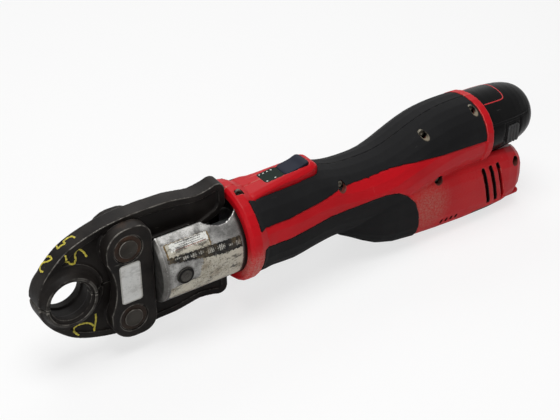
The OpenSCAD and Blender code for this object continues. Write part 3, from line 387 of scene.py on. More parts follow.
def ringed(name, node):
    low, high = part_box(node)
    k = Looks(name)
    fine = k.noise(1100, 4, 0.65, seed=1)
    blotch = k.noise(220, 5, 0.65, seed=2)
    across = k.math("SUBTRACT", k.axis("X"), (low[0] + high[0]) / 2)
    along = k.math("SUBTRACT", k.axis("Z"), (low[2] + high[2]) / 2)
    away = k.math("SQRT", k.total(k.times(across, across), k.times(along, along)))
    color = k.mix(k.band(blotch, 0.3, 0.65), *PIN_FACE)
    # the outer ring is painted shade of the gap round the pin
    for inner, outer in PIN_RINGS_MM:
        started = mm_band(k, away, (inner, inner + RING_EDGE_MM))
        ended = mm_band(k, away, (outer, outer + RING_EDGE_MM))
        color = k.mix(k.times(started, k.inverted(ended)), color, PIN_RING)
    rough = k.total(0.4, k.times(fine, 0.2))
    return k.done(color, rough, 0.3, k.bump(fine, 0.25, 0.15), specular=0.1)


# Metals of the inner pieces and screws: two tones and fine grain
def plain_metal(name, light, dark, rough_level):
    k = Looks(name)
    tone = k.noise(90, 5, seed=1)
    fine = k.noise(1500, 2, seed=2)
    color = k.mix(k.band(tone, 0.35, 0.7), light, dark)
    rough = k.total(rough_level, k.times(fine, 0.15))
    return k.done(color, rough, 0.85, k.bump(fine, 0.12, 0.05))


# Paint of the hand-made marks
MARK_YELLOW = ((0.62, 0.52, 0.04), (0.33, 0.28, 0.03))


def paint_mark(name):
    k = Looks(name)
    tone = k.noise(600, 4, 0.6, seed=1)
    color = k.mix(k.band(tone, 0.4, 0.65), *MARK_YELLOW)
    return k.done(color, k.total(0.4, k.times(tone, 0.2)), 0.0, k.bump(tone, 0.3, 0.1))


# Printed sheets: the colour layer, soiled, speckled, scraped and worn through
SOIL = (0.16, 0.12, 0.07)
SPECK = (0.03, 0.027, 0.022)
SCRAPE = (0.035, 0.03, 0.024)


def printed(name, worn, level, wear_scale, grime):
    k = Looks(name)
    ink = k.attribute("ink", "Color")
    fine = k.noise(wear_scale, 7, 0.7, seed=1)
    soil = k.noise(90, 5, 0.6, seed=2)
    color = k.mix(k.band(soil, 0.48, 0.72, grime), ink, SOIL)
    specks = k.band(k.noise(900, 5, 0.65, seed=3), 0.53, 0.62)
    color = k.mix(k.times(specks, k.band(soil, 0.36, 0.56), grime), color, SPECK)
    scrape = k.noise(230, 7, 0.72, seed=5, stretch=(0.4, 1, 1), turn=0.35)
    color = k.mix(k.band(scrape, 0.53, 0.6, grime), color, SCRAPE)
    color = k.mix(k.band(fine, level, level + 0.07), color, worn)
    rough = k.total(0.42, k.times(soil, 0.2))
    return k.done(color, rough, 0.0, k.bump(fine, 0.2, 0.1), specular=0.2)


# Dark tone, light tone, rust tone, rust level, and whether the jaw's split shows
FORGED = {
    "forged_steel": ((0.0065, 0.0055, 0.005), (0.017, 0.0145, 0.013), (0.034, 0.02, 0.013), 0.6),
    "jaw_arm": ((0.006, 0.005, 0.0045), (0.016, 0.0135, 0.012), (0.03, 0.018, 0.012), 0.62, True),
    "rusty_steel": ((0.015, 0.011, 0.009), (0.033, 0.021, 0.015), (0.068, 0.031, 0.017), 0.5),
    "pin_steel": ((0.022, 0.019, 0.016), (0.046, 0.041, 0.035), (0.05, 0.03, 0.02), 0.6),
}
# Light tone, dark tone, roughness, and for the head its grime
BARE = {
    "head_steel": ((0.4, 0.395, 0.38), (0.025, 0.023, 0.021), 0.28, 1.0, True),
    "bright_steel": ((0.5, 0.51, 0.52), (0.24, 0.24, 0.24), 0.25),
}
# Light tone, dark tone, roughness
METALS = {
    "spring_steel": ((0.42, 0.43, 0.44), (0.28, 0.28, 0.28), 0.3),
    # screw_steel is dark screw metal, darkened further as painted shade of the screws deep in their wells
    "screw_steel": ((0.16, 0.145, 0.115), (0.06, 0.055, 0.045), 0.4),
    "bronze": ((0.5, 0.34, 0.15), (0.36, 0.23, 0.1), 0.3),
    "contact_brass": ((0.72, 0.52, 0.2), (0.5, 0.35, 0.13), 0.25),
    "cast_alloy": ((0.5, 0.51, 0.52), (0.36, 0.37, 0.38), 0.42),
    "motor_steel": ((0.12, 0.12, 0.125), (0.07, 0.07, 0.075), 0.35),
    "copper_core": ((0.5, 0.2, 0.09), (0.3, 0.12, 0.06), 0.35),
}
# Tone, lighter tone, roughness, specular level, and the grain's scale where it isn't the usual one
MOULDED = {
    "seal_rubber": ((0.016, 0.016, 0.017), (0.028, 0.028, 0.028), 0.6, 0.3),
    "trigger_plastic": ((0.006, 0.008, 0.017), (0.011, 0.014, 0.026), 0.42, 0.1),
    "window_plastic": ((0.0015, 0.0075, 0.0045), (0.003, 0.014, 0.008), 0.3, 0.05, 900),
    "light_pipe": ((0.55, 0.6, 0.55), (0.7, 0.75, 0.7), 0.2, 0.5),
    "board_green": ((0.015, 0.12, 0.05), (0.03, 0.18, 0.07), 0.4, 0.4),
    "black_plastic": ((0.003, 0.003, 0.0032), (0.006, 0.006, 0.006), 0.2, 0.06, 900),
    "dark_plastic": ((0.018, 0.018, 0.019), (0.03, 0.03, 0.03), 0.42, 0.35),
    "cell_wrap": ((0.06, 0.17, 0.45), (0.09, 0.23, 0.55), 0.3, 0.45),
    "vent_dark": ((0.004, 0.003, 0.003), (0.007, 0.005, 0.005), 0.8, 0.02),
    "trim_red": ((0.45, 0.01, 0.014), (0.55, 0.016, 0.02), 0.35, 0.4),
}
# What shows where the sheet is worn through, its level, its scale, and the grime
PRINTED = {
    "cheek_print": ((0.09, 0.085, 0.078), 0.57, 240, 0.8),
    "sticker_print": ((0.3, 0.29, 0.27), 0.68, 300, 0.2),
}
MATERIALS = {}


def make_materials():
    tables = {forged: FORGED, bare_steel: BARE, plain_metal: METALS, moulded: MOULDED, printed: PRINTED}
    for make, table in tables.items():
        for name, values in table.items():
            MATERIALS[name] = make(name, *values)
    for make in (red_plastic, grip_rubber, paint_mark):
        MATERIALS[make.__name__] = make(make.__name__)
    MATERIALS["pin_face"] = ringed("pin_face", "jaw_retaining_pin")


def set_material(ob, name):
    ob.data.materials.clear()
    ob.data.materials.append(MATERIALS[name])


# Dressed copies: the solid's own form, with the soft edges of the real piece
def link(ob):
    SCENE.collection.objects.link(ob)
    return ob


def baked(ob):
    deps = bpy.context.evaluated_depsgraph_get()
    mesh = bpy.data.meshes.new_from_object(ob.evaluated_get(deps))
    old = ob.data
    ob.modifiers.clear()
    ob.data = mesh
    mesh.name = ob.name
    bpy.data.meshes.remove(old)


def columns(collection, name, width, kind=np.float64):
    out = np.empty(len(collection) * width, kind)
    collection.foreach_get(name, out)
    return out.reshape(-1, width)


# Share by which each vertex stands out of its neighbours, for wear on edges
EDGE_ROUNDS = 2
LEAST_LENGTH = 1e-9


def mark_edges(mesh):
    count = len(mesh.vertices)
    place = columns(mesh.vertices, "co", 3)
    normal = columns(mesh.vertices, "normal", 3)
    pairs = columns(mesh.edges, "vertices", 2, np.int32)
    a = np.concatenate([pairs[:, 0], pairs[:, 1]])
    b = np.concatenate([pairs[:, 1], pairs[:, 0]])
    degree = np.maximum(np.bincount(a, minlength=count), 1)
    mean = np.stack([np.bincount(a, place[b, i], count) for i in range(3)], 1) / degree[:, None]
    length = np.bincount(a, np.linalg.norm(place[a] - place[b], axis=1), count) / degree
    bend = ((place - mean) * normal).sum(1) / np.maximum(length, LEAST_LENGTH)
    for _ in range(EDGE_ROUNDS):
        bend = 0.5 * bend + 0.5 * np.bincount(a, bend[b], count) / degree
    layer = mesh.attributes.new("edge", "FLOAT", "POINT")
    layer.data.foreach_set("value", bend.astype(np.float32))


def step(value, low, high):
    u = np.clip((value - low) / (high - low), 0, 1)
    return u * u * (3 - 2 * u)


def ridge(value, centre, width):
    return np.exp(-((value - centre) / width) ** 2)


# Wells round the screws, and the rear vents, painted dark as shade, and behind the collar the wells'
# upward-facing walls painted light. Facing limits are shares of the vertex normal, insets and outsets count
# from the well's radius.
SCREW_AXES_MM = [(117, 30), (188.7, 15.2), (259.4, 28.5), (302.6, 34), (267.5, -4.8), (340, -14)]
WELL_R = 3.1
SEAT_FACING = (0.7, 0.9)
SEAT_INSET = (0.6, 0.2)
WALL_FACING = (0.15, 0.45)
WALL_OUTSET = (0.2, 0.6)
LIT_GAIN = 1.6
LIT_START = 0.2
LEAST_AWAY = 0.01
COLLAR_END = 130
COLLAR_FADE = 0.7
VENT_X = 313
VENT_HALF = 10.5
VENT_TOP = -4
VENT_WALL_FACING = 0.4
VENT_SUNK = 24.3
VENT_MID = -15

# Wells drawn narrower with the form of the other half: axis, radius, reach, and the radius left open
COLLAR_FILL = (-22.0, -9.6)
COLLAR_WELLS = [(*SCREW_AXES_MM[0], 3.3, *COLLAR_FILL, 0)]
GRIP_FILL = (-30, -9.0)
GRIP_WELLS = [(*SCREW_AXES_MM[n], 3.4, *GRIP_FILL, 2.1) for n in (2, 3)]


def mark_wells(mesh, well_r):
    place = columns(mesh.vertices, "co", 3) / MM
    normal = columns(mesh.vertices, "normal", 3)
    well_shade = np.zeros(len(place))
    floor = np.zeros(len(place))
    lit = np.clip(normal[:, 2] * LIT_GAIN - LIT_START, 0, 1)
    for x, z in SCREW_AXES_MM:
        dx, dz = place[:, 0] - x, place[:, 2] - z
        away = np.maximum(np.hypot(dx, dz), LEAST_AWAY)
        inward = -(normal[:, 0] * dx + normal[:, 2] * dz) / away
        seat = step(-normal[:, 1], *SEAT_FACING) * (1 - step(away, *[well_r - v for v in SEAT_INSET]))
        wall = np.maximum(step(inward, *WALL_FACING), seat)
        wall *= 1 - step(away, *[well_r + v for v in WALL_OUTSET])
        wall *= (place[:, 1] < 0) & ((x > COLLAR_END) | (place[:, 1] > COLLAR_FILL[1] - COLLAR_FADE))
        well_shade = np.maximum(well_shade, wall)
        # painted light on the wells' upward-facing walls behind the collar
        if x > COLLAR_END:
            floor = np.maximum(floor, wall * lit)
    x, y, z = place.T
    sunk = (np.abs(normal[:, 0]) > VENT_WALL_FACING) | ((np.abs(y) < VENT_SUNK) & (z < VENT_MID))
    slits = (np.abs(x - VENT_X) < VENT_HALF) & (z < VENT_TOP) & sunk
    # vent slits painted dark as shade, with the wells
    well_shade = np.maximum(well_shade, slits)
    for name, values in (("well", well_shade), ("well_painted_light", floor)):
        layer = mesh.attributes.new(name, "FLOAT", "POINT")
        layer.data.foreach_set("value", values.astype(np.float32))


def shade_smooth(mesh):
    mesh.polygons.foreach_set("use_smooth", np.ones(len(mesh.polygons), bool))
    mesh.update()


# Rods along y that cut the filling of a well
ROD_SEGMENTS = 32


def rod(x, z, r, low, high):
    bm = bmesh.new()
    size = {"radius1": r * MM, "radius2": r * MM, "depth": (high - low) * MM}
    bmesh.ops.create_cone(bm, cap_ends=True, segments=ROD_SEGMENTS, **size)
    bmesh.ops.rotate(bm, matrix=Matrix.Rotation(math.pi / 2, 3, "X"), verts=bm.verts)
    bmesh.ops.translate(bm, vec=Vector((x, (low + high) / 2, z)) * MM, verts=bm.verts)
    mesh = bpy.data.meshes.new("rod")
    bm.to_mesh(mesh)
    bm.free()
    return link(bpy.data.objects.new("rod", mesh))


def cut_with(ob, tool, operation):
    cut = ob.modifiers.new("cut", "BOOLEAN")
    cut.operation = operation
    cut.object = tool
    baked(ob)
    bpy.data.objects.remove(tool)


def fill_wells(ob, twin, wells):
    for x, z, r, low, high, left in wells:
        bm = bmesh.new()
        bm.from_mesh(NODES[twin].data)
        bmesh.ops.scale(bm, vec=(1, -1, 1), verts=bm.verts)
        bmesh.ops.reverse_faces(bm, faces=bm.faces)
        mesh = bpy.data.meshes.new("fill")
        bm.to_mesh(mesh)
        fill = link(bpy.data.objects.new("fill", mesh))
        cut_with(fill, rod(x, z, r, low, high), "INTERSECT")
        if left:
            cut_with(fill, rod(x, z, left, low - r, high + r), "DIFFERENCE")
        bm.clear()
        bm.from_mesh(ob.data)
        bm.from_mesh(fill.data)
        bm.to_mesh(ob.data)
        bm.free()
        bpy.data.objects.remove(fill)


# Jaw arms: a web closes the notch behind the bore, as outline and half thickness
WEB = [(18, 0.1), (33.5, 0.1), (33.5, 11.5), (25, 6), (19, 2)]
WEB_HALF_T = 4.3
BOSS_FOOT_R = (22.5, 23.5)


def add_web(ob, side):
    bm = bmesh.new()
    rims = []
    for y in (-WEB_HALF_T, WEB_HALF_T):
        rims.append([bm.verts.new(Vector((x, y, side * z)) * MM) for x, z in WEB])
        bm.faces.new(rims[-1])
    for i in range(len(WEB)):
        bm.faces.new((rims[0][i - 1], rims[0][i], rims[1][i], rims[1][i - 1]))
    bmesh.ops.recalc_face_normals(bm, faces=bm.faces)
    bm.from_mesh(ob.data)
    bm.to_mesh(ob.data)
    bm.free()


# Jaw arms: the floor beside the web lies flat, and the split on the nose has a small notch
WEB_FLOOR_X = (36, 38)
WEB_FLOOR_Z = (11, 14)
NOTCH_X = (-17.5, -15.5)
NOTCH_Z = (0.3, 1.6)
NOTCH_DEPTH = 0.7
NOTCH_SPREAD = 0.12


def arm_shape(p):
    x, y, z = p.T
    out = np.zeros(p.shape)
    floor = step(np.hypot(x, z), *BOSS_FOOT_R)
    floor *= (1 - step(x, *WEB_FLOOR_X)) * (1 - step(np.abs(z), *WEB_FLOOR_Z))
    out[:, 1] = -np.sign(y) * np.maximum(np.abs(y) - WEB_HALF_T, 0) * floor
    nose = (1 - step(x, *NOTCH_X)) * (1 - step(np.abs(z), *NOTCH_Z))
    out[:, 0] = NOTCH_DEPTH * nose
    out[:, 2] = NOTCH_SPREAD * np.sign(z) * nose
    return out


# Copy of a node, remeshed and softened, with its own shape and marks; the seam between two halves stays sharp
SOFTEN = 0.5
SEAM_W = 1.0
HAIR = 1e-6


def dress(node, voxel_mm, rounds, shape=None, material=None, seam=False, twin=None, wells=(), web=0):
    ob = link(bpy.data.objects.new("dressed_" + node, NODES[node].data.copy()))
    if web:
        add_web(ob, web)
    if twin:
        fill_wells(ob, twin, wells)
    remesh = ob.modifiers.new("remesh", "REMESH")
    remesh.mode = "VOXEL"
    remesh.voxel_size = voxel_mm * MM
    baked(ob)
    soften = ob.modifiers.new("soften", "SMOOTH")
    soften.factor = SOFTEN
    soften.iterations = rounds
    if seam:
        place = columns(ob.data.vertices, "co", 3)
        group = ob.vertex_groups.new(name="off_seam")
        group.add(np.nonzero(np.abs(place[:, 1]) > SEAM_W * MM)[0].tolist(), 1.0, "REPLACE")
        soften.vertex_group = "off_seam"
    baked(ob)
    if shape:
        place = columns(ob.data.vertices, "co", 3)
        normal = columns(ob.data.vertices, "normal", 3)
        moved = shape(place / MM) * MM
        if moved.ndim == 1:
            moved = normal * moved[:, None]
        ob.data.vertices.foreach_set("co", (place + moved).ravel())
        ob.data.update()
    place = columns(ob.data.vertices, "co", 3)
    place = np.clip(place, np.array(CAD_BOX[0]) + HAIR, np.array(CAD_BOX[1]) - HAIR)
    ob.data.vertices.foreach_set("co", place.ravel())
    ob.data.update()
    mark_edges(ob.data)
    if seam:
        mark_wells(ob.data, max([well[-1] for well in wells], default=0) or WELL_R)
    shade_smooth(ob.data)
    set_material(ob, material or SLOT_OF[node])
    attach(ob, BODY_OF[node])
    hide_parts(node)


# Battery: a step line along each side and a frame round each latch, both sunk
BATTERY_SIDE = (16, 19)
LINE_START = (315, 316)
LINE_END = (348, 352)
LINE_Z = 21.5
LINE_FALL = 0.04
LINE_W = 0.6
LATCH_MID = (335.0, 10.0)
LATCH_FRAME = (7.4, 9.0)
FRAME_W = 0.7
BATTERY_SUNK = 0.6


def battery_shape(p):
    x, y, z = p.T
    side = step(np.abs(y), *BATTERY_SIDE)
    line = ridge(z, LINE_Z - LINE_FALL * (x - LINE_START[0]), LINE_W)
    line *= step(x, *LINE_START) * (1 - step(x, *LINE_END))
    across = np.maximum(np.abs(x - LATCH_MID[0]) - LATCH_FRAME[0], np.abs(z - LATCH_MID[1]) - LATCH_FRAME[1])
    return -BATTERY_SUNK * side * (line + ridge(across, 0, FRAME_W))


# Window: its top rises to meet the trigger
WINDOW_RISE = 1.1
WINDOW_RISE_X = (137, 154)
WINDOW_TOP_Z = (28.2, 29.2)


def window_rise(x):
    return WINDOW_RISE * step(x, *WINDOW_RISE_X)


def window_shape(p):
    return window_rise(p[:, 0]) * step(p[:, 2], *WINDOW_TOP_Z)


# Far half: the rim beside the window falls away at once
RIM_FALL = 1.3
RIM_START = (129, 136)
RIM_END = (166, 172)
RIM_Y = (5.6, 6.4)
RIM_Z = (26, 29)


def far_rim(p):
    x, y, z = p.T
    along = step(x, *RIM_START) * (1 - step(x, *RIM_END))
    out = np.zeros(p.shape)
    out[:, 2] = -RIM_FALL * along * step(y, *RIM_Y) * step(z, *RIM_Z)
    return out


# Latches: drawn in all round, so that they slide in their pockets
LATCH_ROOM = 0.25


def latch_shape(p):
    return np.full(len(p), -LATCH_ROOM)


# Springs that shorten with their joint: the jaw spring in two halves, each seated in its arm
JAW_SPRING_MID = (42.5, 0, 0)


def spring_copy(name, node, body):
    ob = link(bpy.data.objects.new(name, NODES[node].data.copy()))
    set_material(ob, SLOT_OF[node])
    shade_smooth(ob.data)
    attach(ob, body)
    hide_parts(node)
    return ob


def make_springs():
    up = Vector((0, 0, 1))
    for half, side in (("upper", 1), ("lower", -1)):
        ob = spring_copy(half + "_jaw_spring_half", "jaw_spring", half + "_jaw")
        bm = bmesh.new()
        bm.from_mesh(ob.data)
        cut = bmesh.ops.bisect_plane(
            bm,
            geom=bm.verts[:] + bm.edges[:] + bm.faces[:],
            plane_co=Vector(JAW_SPRING_MID) * MM,
            plane_no=up * side,
            clear_inner=True,
        )
        rim = [e for e in cut["geom_cut"] if isinstance(e, bmesh.types.BMEdge)]
        bmesh.ops.contextual_create(bm, geom=rim)
        bm.to_mesh(ob.data)
        bm.free()
        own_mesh(ob)
    ob = spring_copy("trigger_spring_coil", "trigger_spring", BODY_OF["trigger_spring"])
    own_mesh(ob)


# Dressed nodes: voxel size in mm and rounds of softening
def make_dressed():
    for node, side in (("upper_jaw_arm", 1), ("lower_jaw_arm", -1)):
        dress(node, 0.5, 6, arm_shape, "jaw_arm", web=side)
    for node in ("near_side_plate", "far_side_plate"):
        dress(node, 0.5, 6)
    dress("jaw_pivot_pins", 0.35, 3, material="pin_steel")
    dress("pin_retaining_rings", 0.25, 2)
    dress("fork_head", 0.6, 3)
    dress("jaw_retaining_pin", 0.4, 3, material="pin_face")
    for node in ("upper_roller", "lower_roller", "roller_pins"):
        dress(node, 0.4, 2)
    dress("near_housing", 0.45, 8, seam=True, twin="far_housing", wells=COLLAR_WELLS)
    dress("far_housing", 0.45, 8, far_rim, seam=True)
    dress("near_top_grip", 0.45, 7, seam=True, twin="far_top_grip", wells=GRIP_WELLS)
    for node in ("far_top_grip", "near_bottom_grip", "far_bottom_grip"):
        dress(node, 0.45, 7, seam=True)
    dress("housing_screws", 0.25, 2)
    dress("trigger", 0.35, 6)
    dress("indicator_window", 0.25, 3, window_shape)
    dress("battery_case", 0.5, 4, battery_shape)
    for node in ("near_latch_button", "far_latch_button"):
        dress(node, 0.3, 3, latch_shape)


# Nodes that stay as they are get their slot's material
def finish_nodes():
    for node, ob in NODES.items():
        set_material(ob, SLOT_OF[node])


# Strokes: narrow bands laid on a surface, for hand-made marks, dark strips of painted shade at the low vents,
# and the battery's outline
def spline(a, b, c, d, u):
    second = 2 * a - 5 * b + 4 * c - d
    third = 3 * b - a - 3 * c + d
    return (2 * b + (c - a) * u + second * u ** 2 + third * u ** 3) / 2


def curve_through(points, spacing):
    pts = [Vector(p) for p in points]
    out = []
    for i in range(len(pts) - 1):
        a, b = pts[max(i - 1, 0)], pts[i]
        c, d = pts[i + 1], pts[min(i + 2, len(pts) - 1)]
        count = max(2, int((c - b).length / spacing))
        out.extend(spline(a, b, c, d, j / count) for j in range(count))
    out.append(pts[-1])
    return out


# Width and thickness of a stroke, its foot, its steps along the curve and its sway, in mm
PEN_W = 1.3
PEN_T = 0.09
PEN_SUNK = 0.05
PEN_SPACING = 0.35
PEN_SWAY = 0.18
PEN_SWAY_PACE = 0.9
# Width at the ends and its growth from spot to spot, and the top's width, as shares of the full width
PEN_END = 0.55
PEN_GROWTH = 0.25
PEN_TOP = 0.8


def stroke(name, points_mm, on, body, material="paint_mark", width=PEN_W, sway=PEN_SWAY):
    tree = BVHTree.FromObject(on, bpy.context.evaluated_depsgraph_get())
    spots = [tree.find_nearest(p * MM)[:2] for p in curve_through(points_mm, PEN_SPACING)]
    last = len(spots) - 1
    bm = bmesh.new()
    rows = []
    for i, (hit, normal) in enumerate(spots):
        along = spots[min(i + 1, last)][0] - spots[max(i - 1, 0)][0]
        side = along.cross(normal).normalized()
        share = min(1.0, PEN_END + PEN_GROWTH * min(i, last - i))
        half = width / 2 * MM * share * (1 + sway * math.sin(i * PEN_SWAY_PACE))
        low, high = hit - normal * PEN_SUNK * MM, hit + normal * PEN_T * MM
        foot, top = side * half, side * half * PEN_TOP
        rows.append([bm.verts.new(v) for v in (low - foot, high - top, high + top, low + foot)])
    for a, b in zip(rows[:-1], rows[1:]):
        for j in range(4):
            bm.faces.new((a[j], b[j], b[(j + 1) % 4], a[(j + 1) % 4]))
    bm.faces.new(rows[0])
    bm.faces.new(list(reversed(rows[-1])))
    bmesh.ops.recalc_face_normals(bm, faces=bm.faces)
    mesh = bpy.data.meshes.new(name)
    bm.to_mesh(mesh)
    bm.free()
    ob = link(bpy.data.objects.new(name, mesh))
    shade_smooth(mesh)
    set_material(ob, material)
    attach(ob, body)


# Hand-made marks: name, jaw arm, points
STROKES = [
    ("mark_rim_a", "upper", [
        (10.8, -0.4, 35.1), (10.3, 2.2, 34.9), (7.9, 3.5, 34.0), (5.1, 3.3, 32.8), (5.1, 0.9, 32.8),
    ]),
    ("mark_rim_b", "upper", [(5.1, 0.9, 32.8), (2.4, 2.1, 31.4), (0.7, 2.1, 30.4), (1.0, 5.0, 30.6)]),
    ("mark_rim_c", "upper", [
        (-5.7, 5.4, 25.3), (-4.6, 3.3, 26.3), (-4.6, 0.3, 26.2), (-6.7, 1.9, 24.3), (-8.4, 4.6, 22.6),
        (-10.3, 4.8, 20.5), (-11.3, 2.5, 19.3), (-10.8, -0.2, 20.0),
    ]),
    ("mark_face_a", "upper", [(1.5, -5.7, 29.9), (2.1, -5.7, 24.1)]),
    ("mark_face_b", "upper", [
        (2.1, -5.7, 24.1), (7.7, -5.7, 22.7), (7.9, -5.7, 26.9), (10.6, -5.7, 29.3), (13.1, -5.7, 26.8),
        (15.0, -5.7, 22.4),
    ]),
    ("mark_face_c", "lower", [(16.5, -5.7, -19.9), (16.2, -5.7, -24.8), (14.5, -5.7, -30.7)]),
    ("mark_face_d", "lower", [
        (14.5, -5.7, -28.2), (11.6, -5.7, -24.9), (6.8, -5.7, -23.3), (2.0, -5.7, -24.0), (1.3, -5.7, -26.0),
        (3.9, -5.7, -29.7),
    ]),
]
# Red outline round the battery's top
BATTERY_OUTLINE = [
    (315, -12.4, 33.4), (324, -12.6, 33.3), (331, -12.4, 33.2), (333.6, -11, 33.8), (334.4, -8, 35),
    (334.5, 0, 36.6), (334.4, 8, 35), (333.6, 11, 33.8), (331, 12.4, 33.2), (324, 12.6, 33.3),
    (315, 12.4, 33.4),
]
OUTLINE_W = 0.9
# Upper ends of the low vents, painted as dark strips of shade: front place of each, on both sides
LOW_VENTS = (271.3, 275.7, 280.1, 284.5)
LOW_VENT_LINE = ((0, 25.0, -40.9), (0.5, 25.6, -39.3), (1.0, 26.1, -37.7))
LOW_VENT_W = 2.2


def make_low_vents():
    for half, side in (("near", -1), ("far", 1)):
        on = bpy.data.objects["dressed_%s_housing" % half]
        for n, x in enumerate(LOW_VENTS):
            line = [(x + p[0], side * p[1], p[2]) for p in LOW_VENT_LINE]
            name = "low_vent_%s_%d" % (half, n)
            stroke(name, line, on, "tool", "vent_dark", LOW_VENT_W, 0.0)


def make_marks():
    for name, which, points in STROKES:
        on = bpy.data.objects["dressed_%s_jaw_arm" % which]
        stroke(name, points, on, "%s_jaw" % which)
    on = bpy.data.objects["dressed_battery_case"]
    stroke("battery_outline", BATTERY_OUTLINE, on, "battery", "trim_red", OUTLINE_W, 0.0)


# Labels: thin sheets with their printing held in a colour layer
def sheet_piece(name, rows, keep, ink, material, body):
    height, width = len(rows), len(rows[0])
    bm = bmesh.new()
    verts = [[bm.verts.new(p[0]) for p in row] for row in rows]
    backs = [[bm.verts.new(p[1]) for p in row] for row in rows]

    def kept(j, i):
        if not (0 <= j < height - 1 and 0 <= i < width - 1):
            return False
        return keep[j][i] and keep[j][i + 1] and keep[j + 1][i] and keep[j + 1][i + 1]

    for j in range(height - 1):
        for i in range(width - 1):
            if not kept(j, i):
                continue
            loop = ((j, i), (j, i + 1), (j + 1, i + 1), (j + 1, i))
            bm.faces.new([verts[a][b] for a, b in loop])
            bm.faces.new([backs[a][b] for a, b in reversed(loop)])
            for (a, b), (c, d), beside in (
                (loop[0], loop[1], (j - 1, i)), (loop[1], loop[2], (j, i + 1)),
                (loop[2], loop[3], (j + 1, i)), (loop[3], loop[0], (j, i - 1)),
            ):
                if not kept(*beside):
                    bm.faces.new((verts[c][d], verts[a][b], backs[a][b], backs[c][d]))
    colors = {}
    for j in range(height):
        for i in range(width):
            colors[verts[j][i]] = colors[backs[j][i]] = ink[j][i]
    loose = [v for v in bm.verts if not v.link_faces]
    for v in loose:
        colors.pop(v)
    bmesh.ops.delete(bm, geom=loose, context="VERTS")
    bmesh.ops.recalc_face_normals(bm, faces=bm.faces)
    bm.verts.index_update()
    mesh = bpy.data.meshes.new(name)
    order = [colors[v] for v in bm.verts]
    bm.to_mesh(mesh)
    bm.free()
    layer = mesh.color_attributes.new("ink", "FLOAT_COLOR", "POINT")
    layer.data.foreach_set("color", np.array([(*c, 1) for c in order], np.float32).ravel())
    ob = link(bpy.data.objects.new(name, mesh))
    set_material(ob, material)
    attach(ob, body)
    return ob


# Head label: x along the head in mm, a round it in degrees, upwards from the near side
HEAD_R = 26.3
CHEEK_X = (57.0, 108.6)
CHEEK_DEG = (-44.0, 52.0)
CHEEK_CELLS = (230, 200)
LABEL_T = 0.07
CHEEK_SUNK = 0.05
CREAM = (0.5, 0.47, 0.39)
PAPER = (0.74, 0.74, 0.7)
BROWN = (0.17, 0.115, 0.045)
INK = (0.006, 0.006, 0.006)
FADED = (0.4, 0.39, 0.35)
BAR = (0.13, 0.125, 0.12)
RED_BAR = (0.3, 0.1, 0.06)
# Thin bars on the paper: angle, start, end, tone
BARS = [
    (47.6, 65.0, 83.0, BAR), (44.6, 67.0, 82.0, BAR), (41.7, 64.5, 84.0, BAR), (39.0, 64.0, 85.0, RED_BAR),
]
BAR_HALF_DEG = 0.55
# Rubbed patches in the dark band: place, half length, half height in degrees
RUBS = [
    (64, 28.2, 2.2, 1.0), (69, 25.6, 2.4, 2.0), (74.5, 24.6, 2.0, 2.6), (79.5, 24.6, 1.4, 2.0),
    (86, 22.6, 2.5, 3.6), (93.5, 21.8, 2.6, 3.9), (100, 20.2, 1.6, 1.6), (105, 19.6, 1.9, 3.4),
]
# Dark band: upper and lower angle at the front, the fall of each and the length of that fall
BAND_FRONT = 57
BAND_TOP = (32.0, 4.0, 50)
BAND_LOW = (24.5, 12.5, 36)
LABEL_END = 107.8
# Paper above the band, its upper edge, its brown stain and its whiter part
PAPER_X = (57.6, 88)
PAPER_TOP = 50.8
PAPER_TOP_FALL = 0.03
STAIN_X = (58.7, 86.6)
STAIN_A = 49.3
WHITE_X = 61
WHITE_A = 37.6
# Cream part below the band: front edge with its bend, lower edge, and the cut of the lower corner
CREAM_FRONT = 77.5
CREAM_BEND = -9
CREAM_SLOPES = (0.14, 4.6)
CREAM_LEAST = 56.5
CREAM_LOW = -41
CREAM_CUT = 64


def ragged(x, a, seed):
    wave = math.sin(x * 1.9 + seed)
    wave += math.sin(x * 4.3 + a * 0.7 + seed * 2) * 0.6
    wave += math.sin(a * 1.3 + seed * 3) * 0.6
    return wave * 0.45


def paper_part(x, a, rough):
    for at, start, end, tone in BARS:
        if abs(a - at) < BAR_HALF_DEG and start < x < end:
            return tone if math.sin(x * 5.1 + at) > -0.8 else PAPER
    if x < STAIN_X[0] or x > STAIN_X[1] + 0.4 * rough or a > STAIN_A + rough:
        return BROWN
    return PAPER if x > WHITE_X and a > WHITE_A + 0.8 * rough else CREAM


def band_part(x, a):
    for at_x, at_a, half_x, half_a in RUBS:
        away = math.hypot((x - at_x) / half_x, (a - at_a) / half_a) + 0.5 * ragged(x * 2, a * 1.6, at_x)
        if away < 1 and ragged(x * 2.7, a * 2.2, at_x * 2) > -0.2:
            return FADED
    return INK


def cheek_part(x, a):
    rough = ragged(x, a, 1.0)
    along = x - BAND_FRONT
    band_top = BAND_TOP[0] - BAND_TOP[1] * along / BAND_TOP[2] + rough
    band_low = BAND_LOW[0] - BAND_LOW[1] * min(max(along / BAND_LOW[2], 0), 1) + rough
    paper_top = PAPER_TOP - PAPER_TOP_FALL * along + rough
    if PAPER_X[0] + 0.4 * rough < x < PAPER_X[1] + 0.5 * rough and band_top < a < paper_top:
        return paper_part(x, a, rough)
    if x >= LABEL_END + 0.3 * rough:
        return None
    if band_low < a <= band_top:
        return band_part(x, a)
    front = CREAM_FRONT + CREAM_SLOPES[0] * max(a, CREAM_BEND) - CREAM_SLOPES[1] * max(CREAM_BEND - a, 0)
    low = CREAM_LOW + rough + max(0, CREAM_CUT - x)
    if low < a <= band_low and x > max(front, CREAM_LEAST) + rough:
        return CREAM
    return None


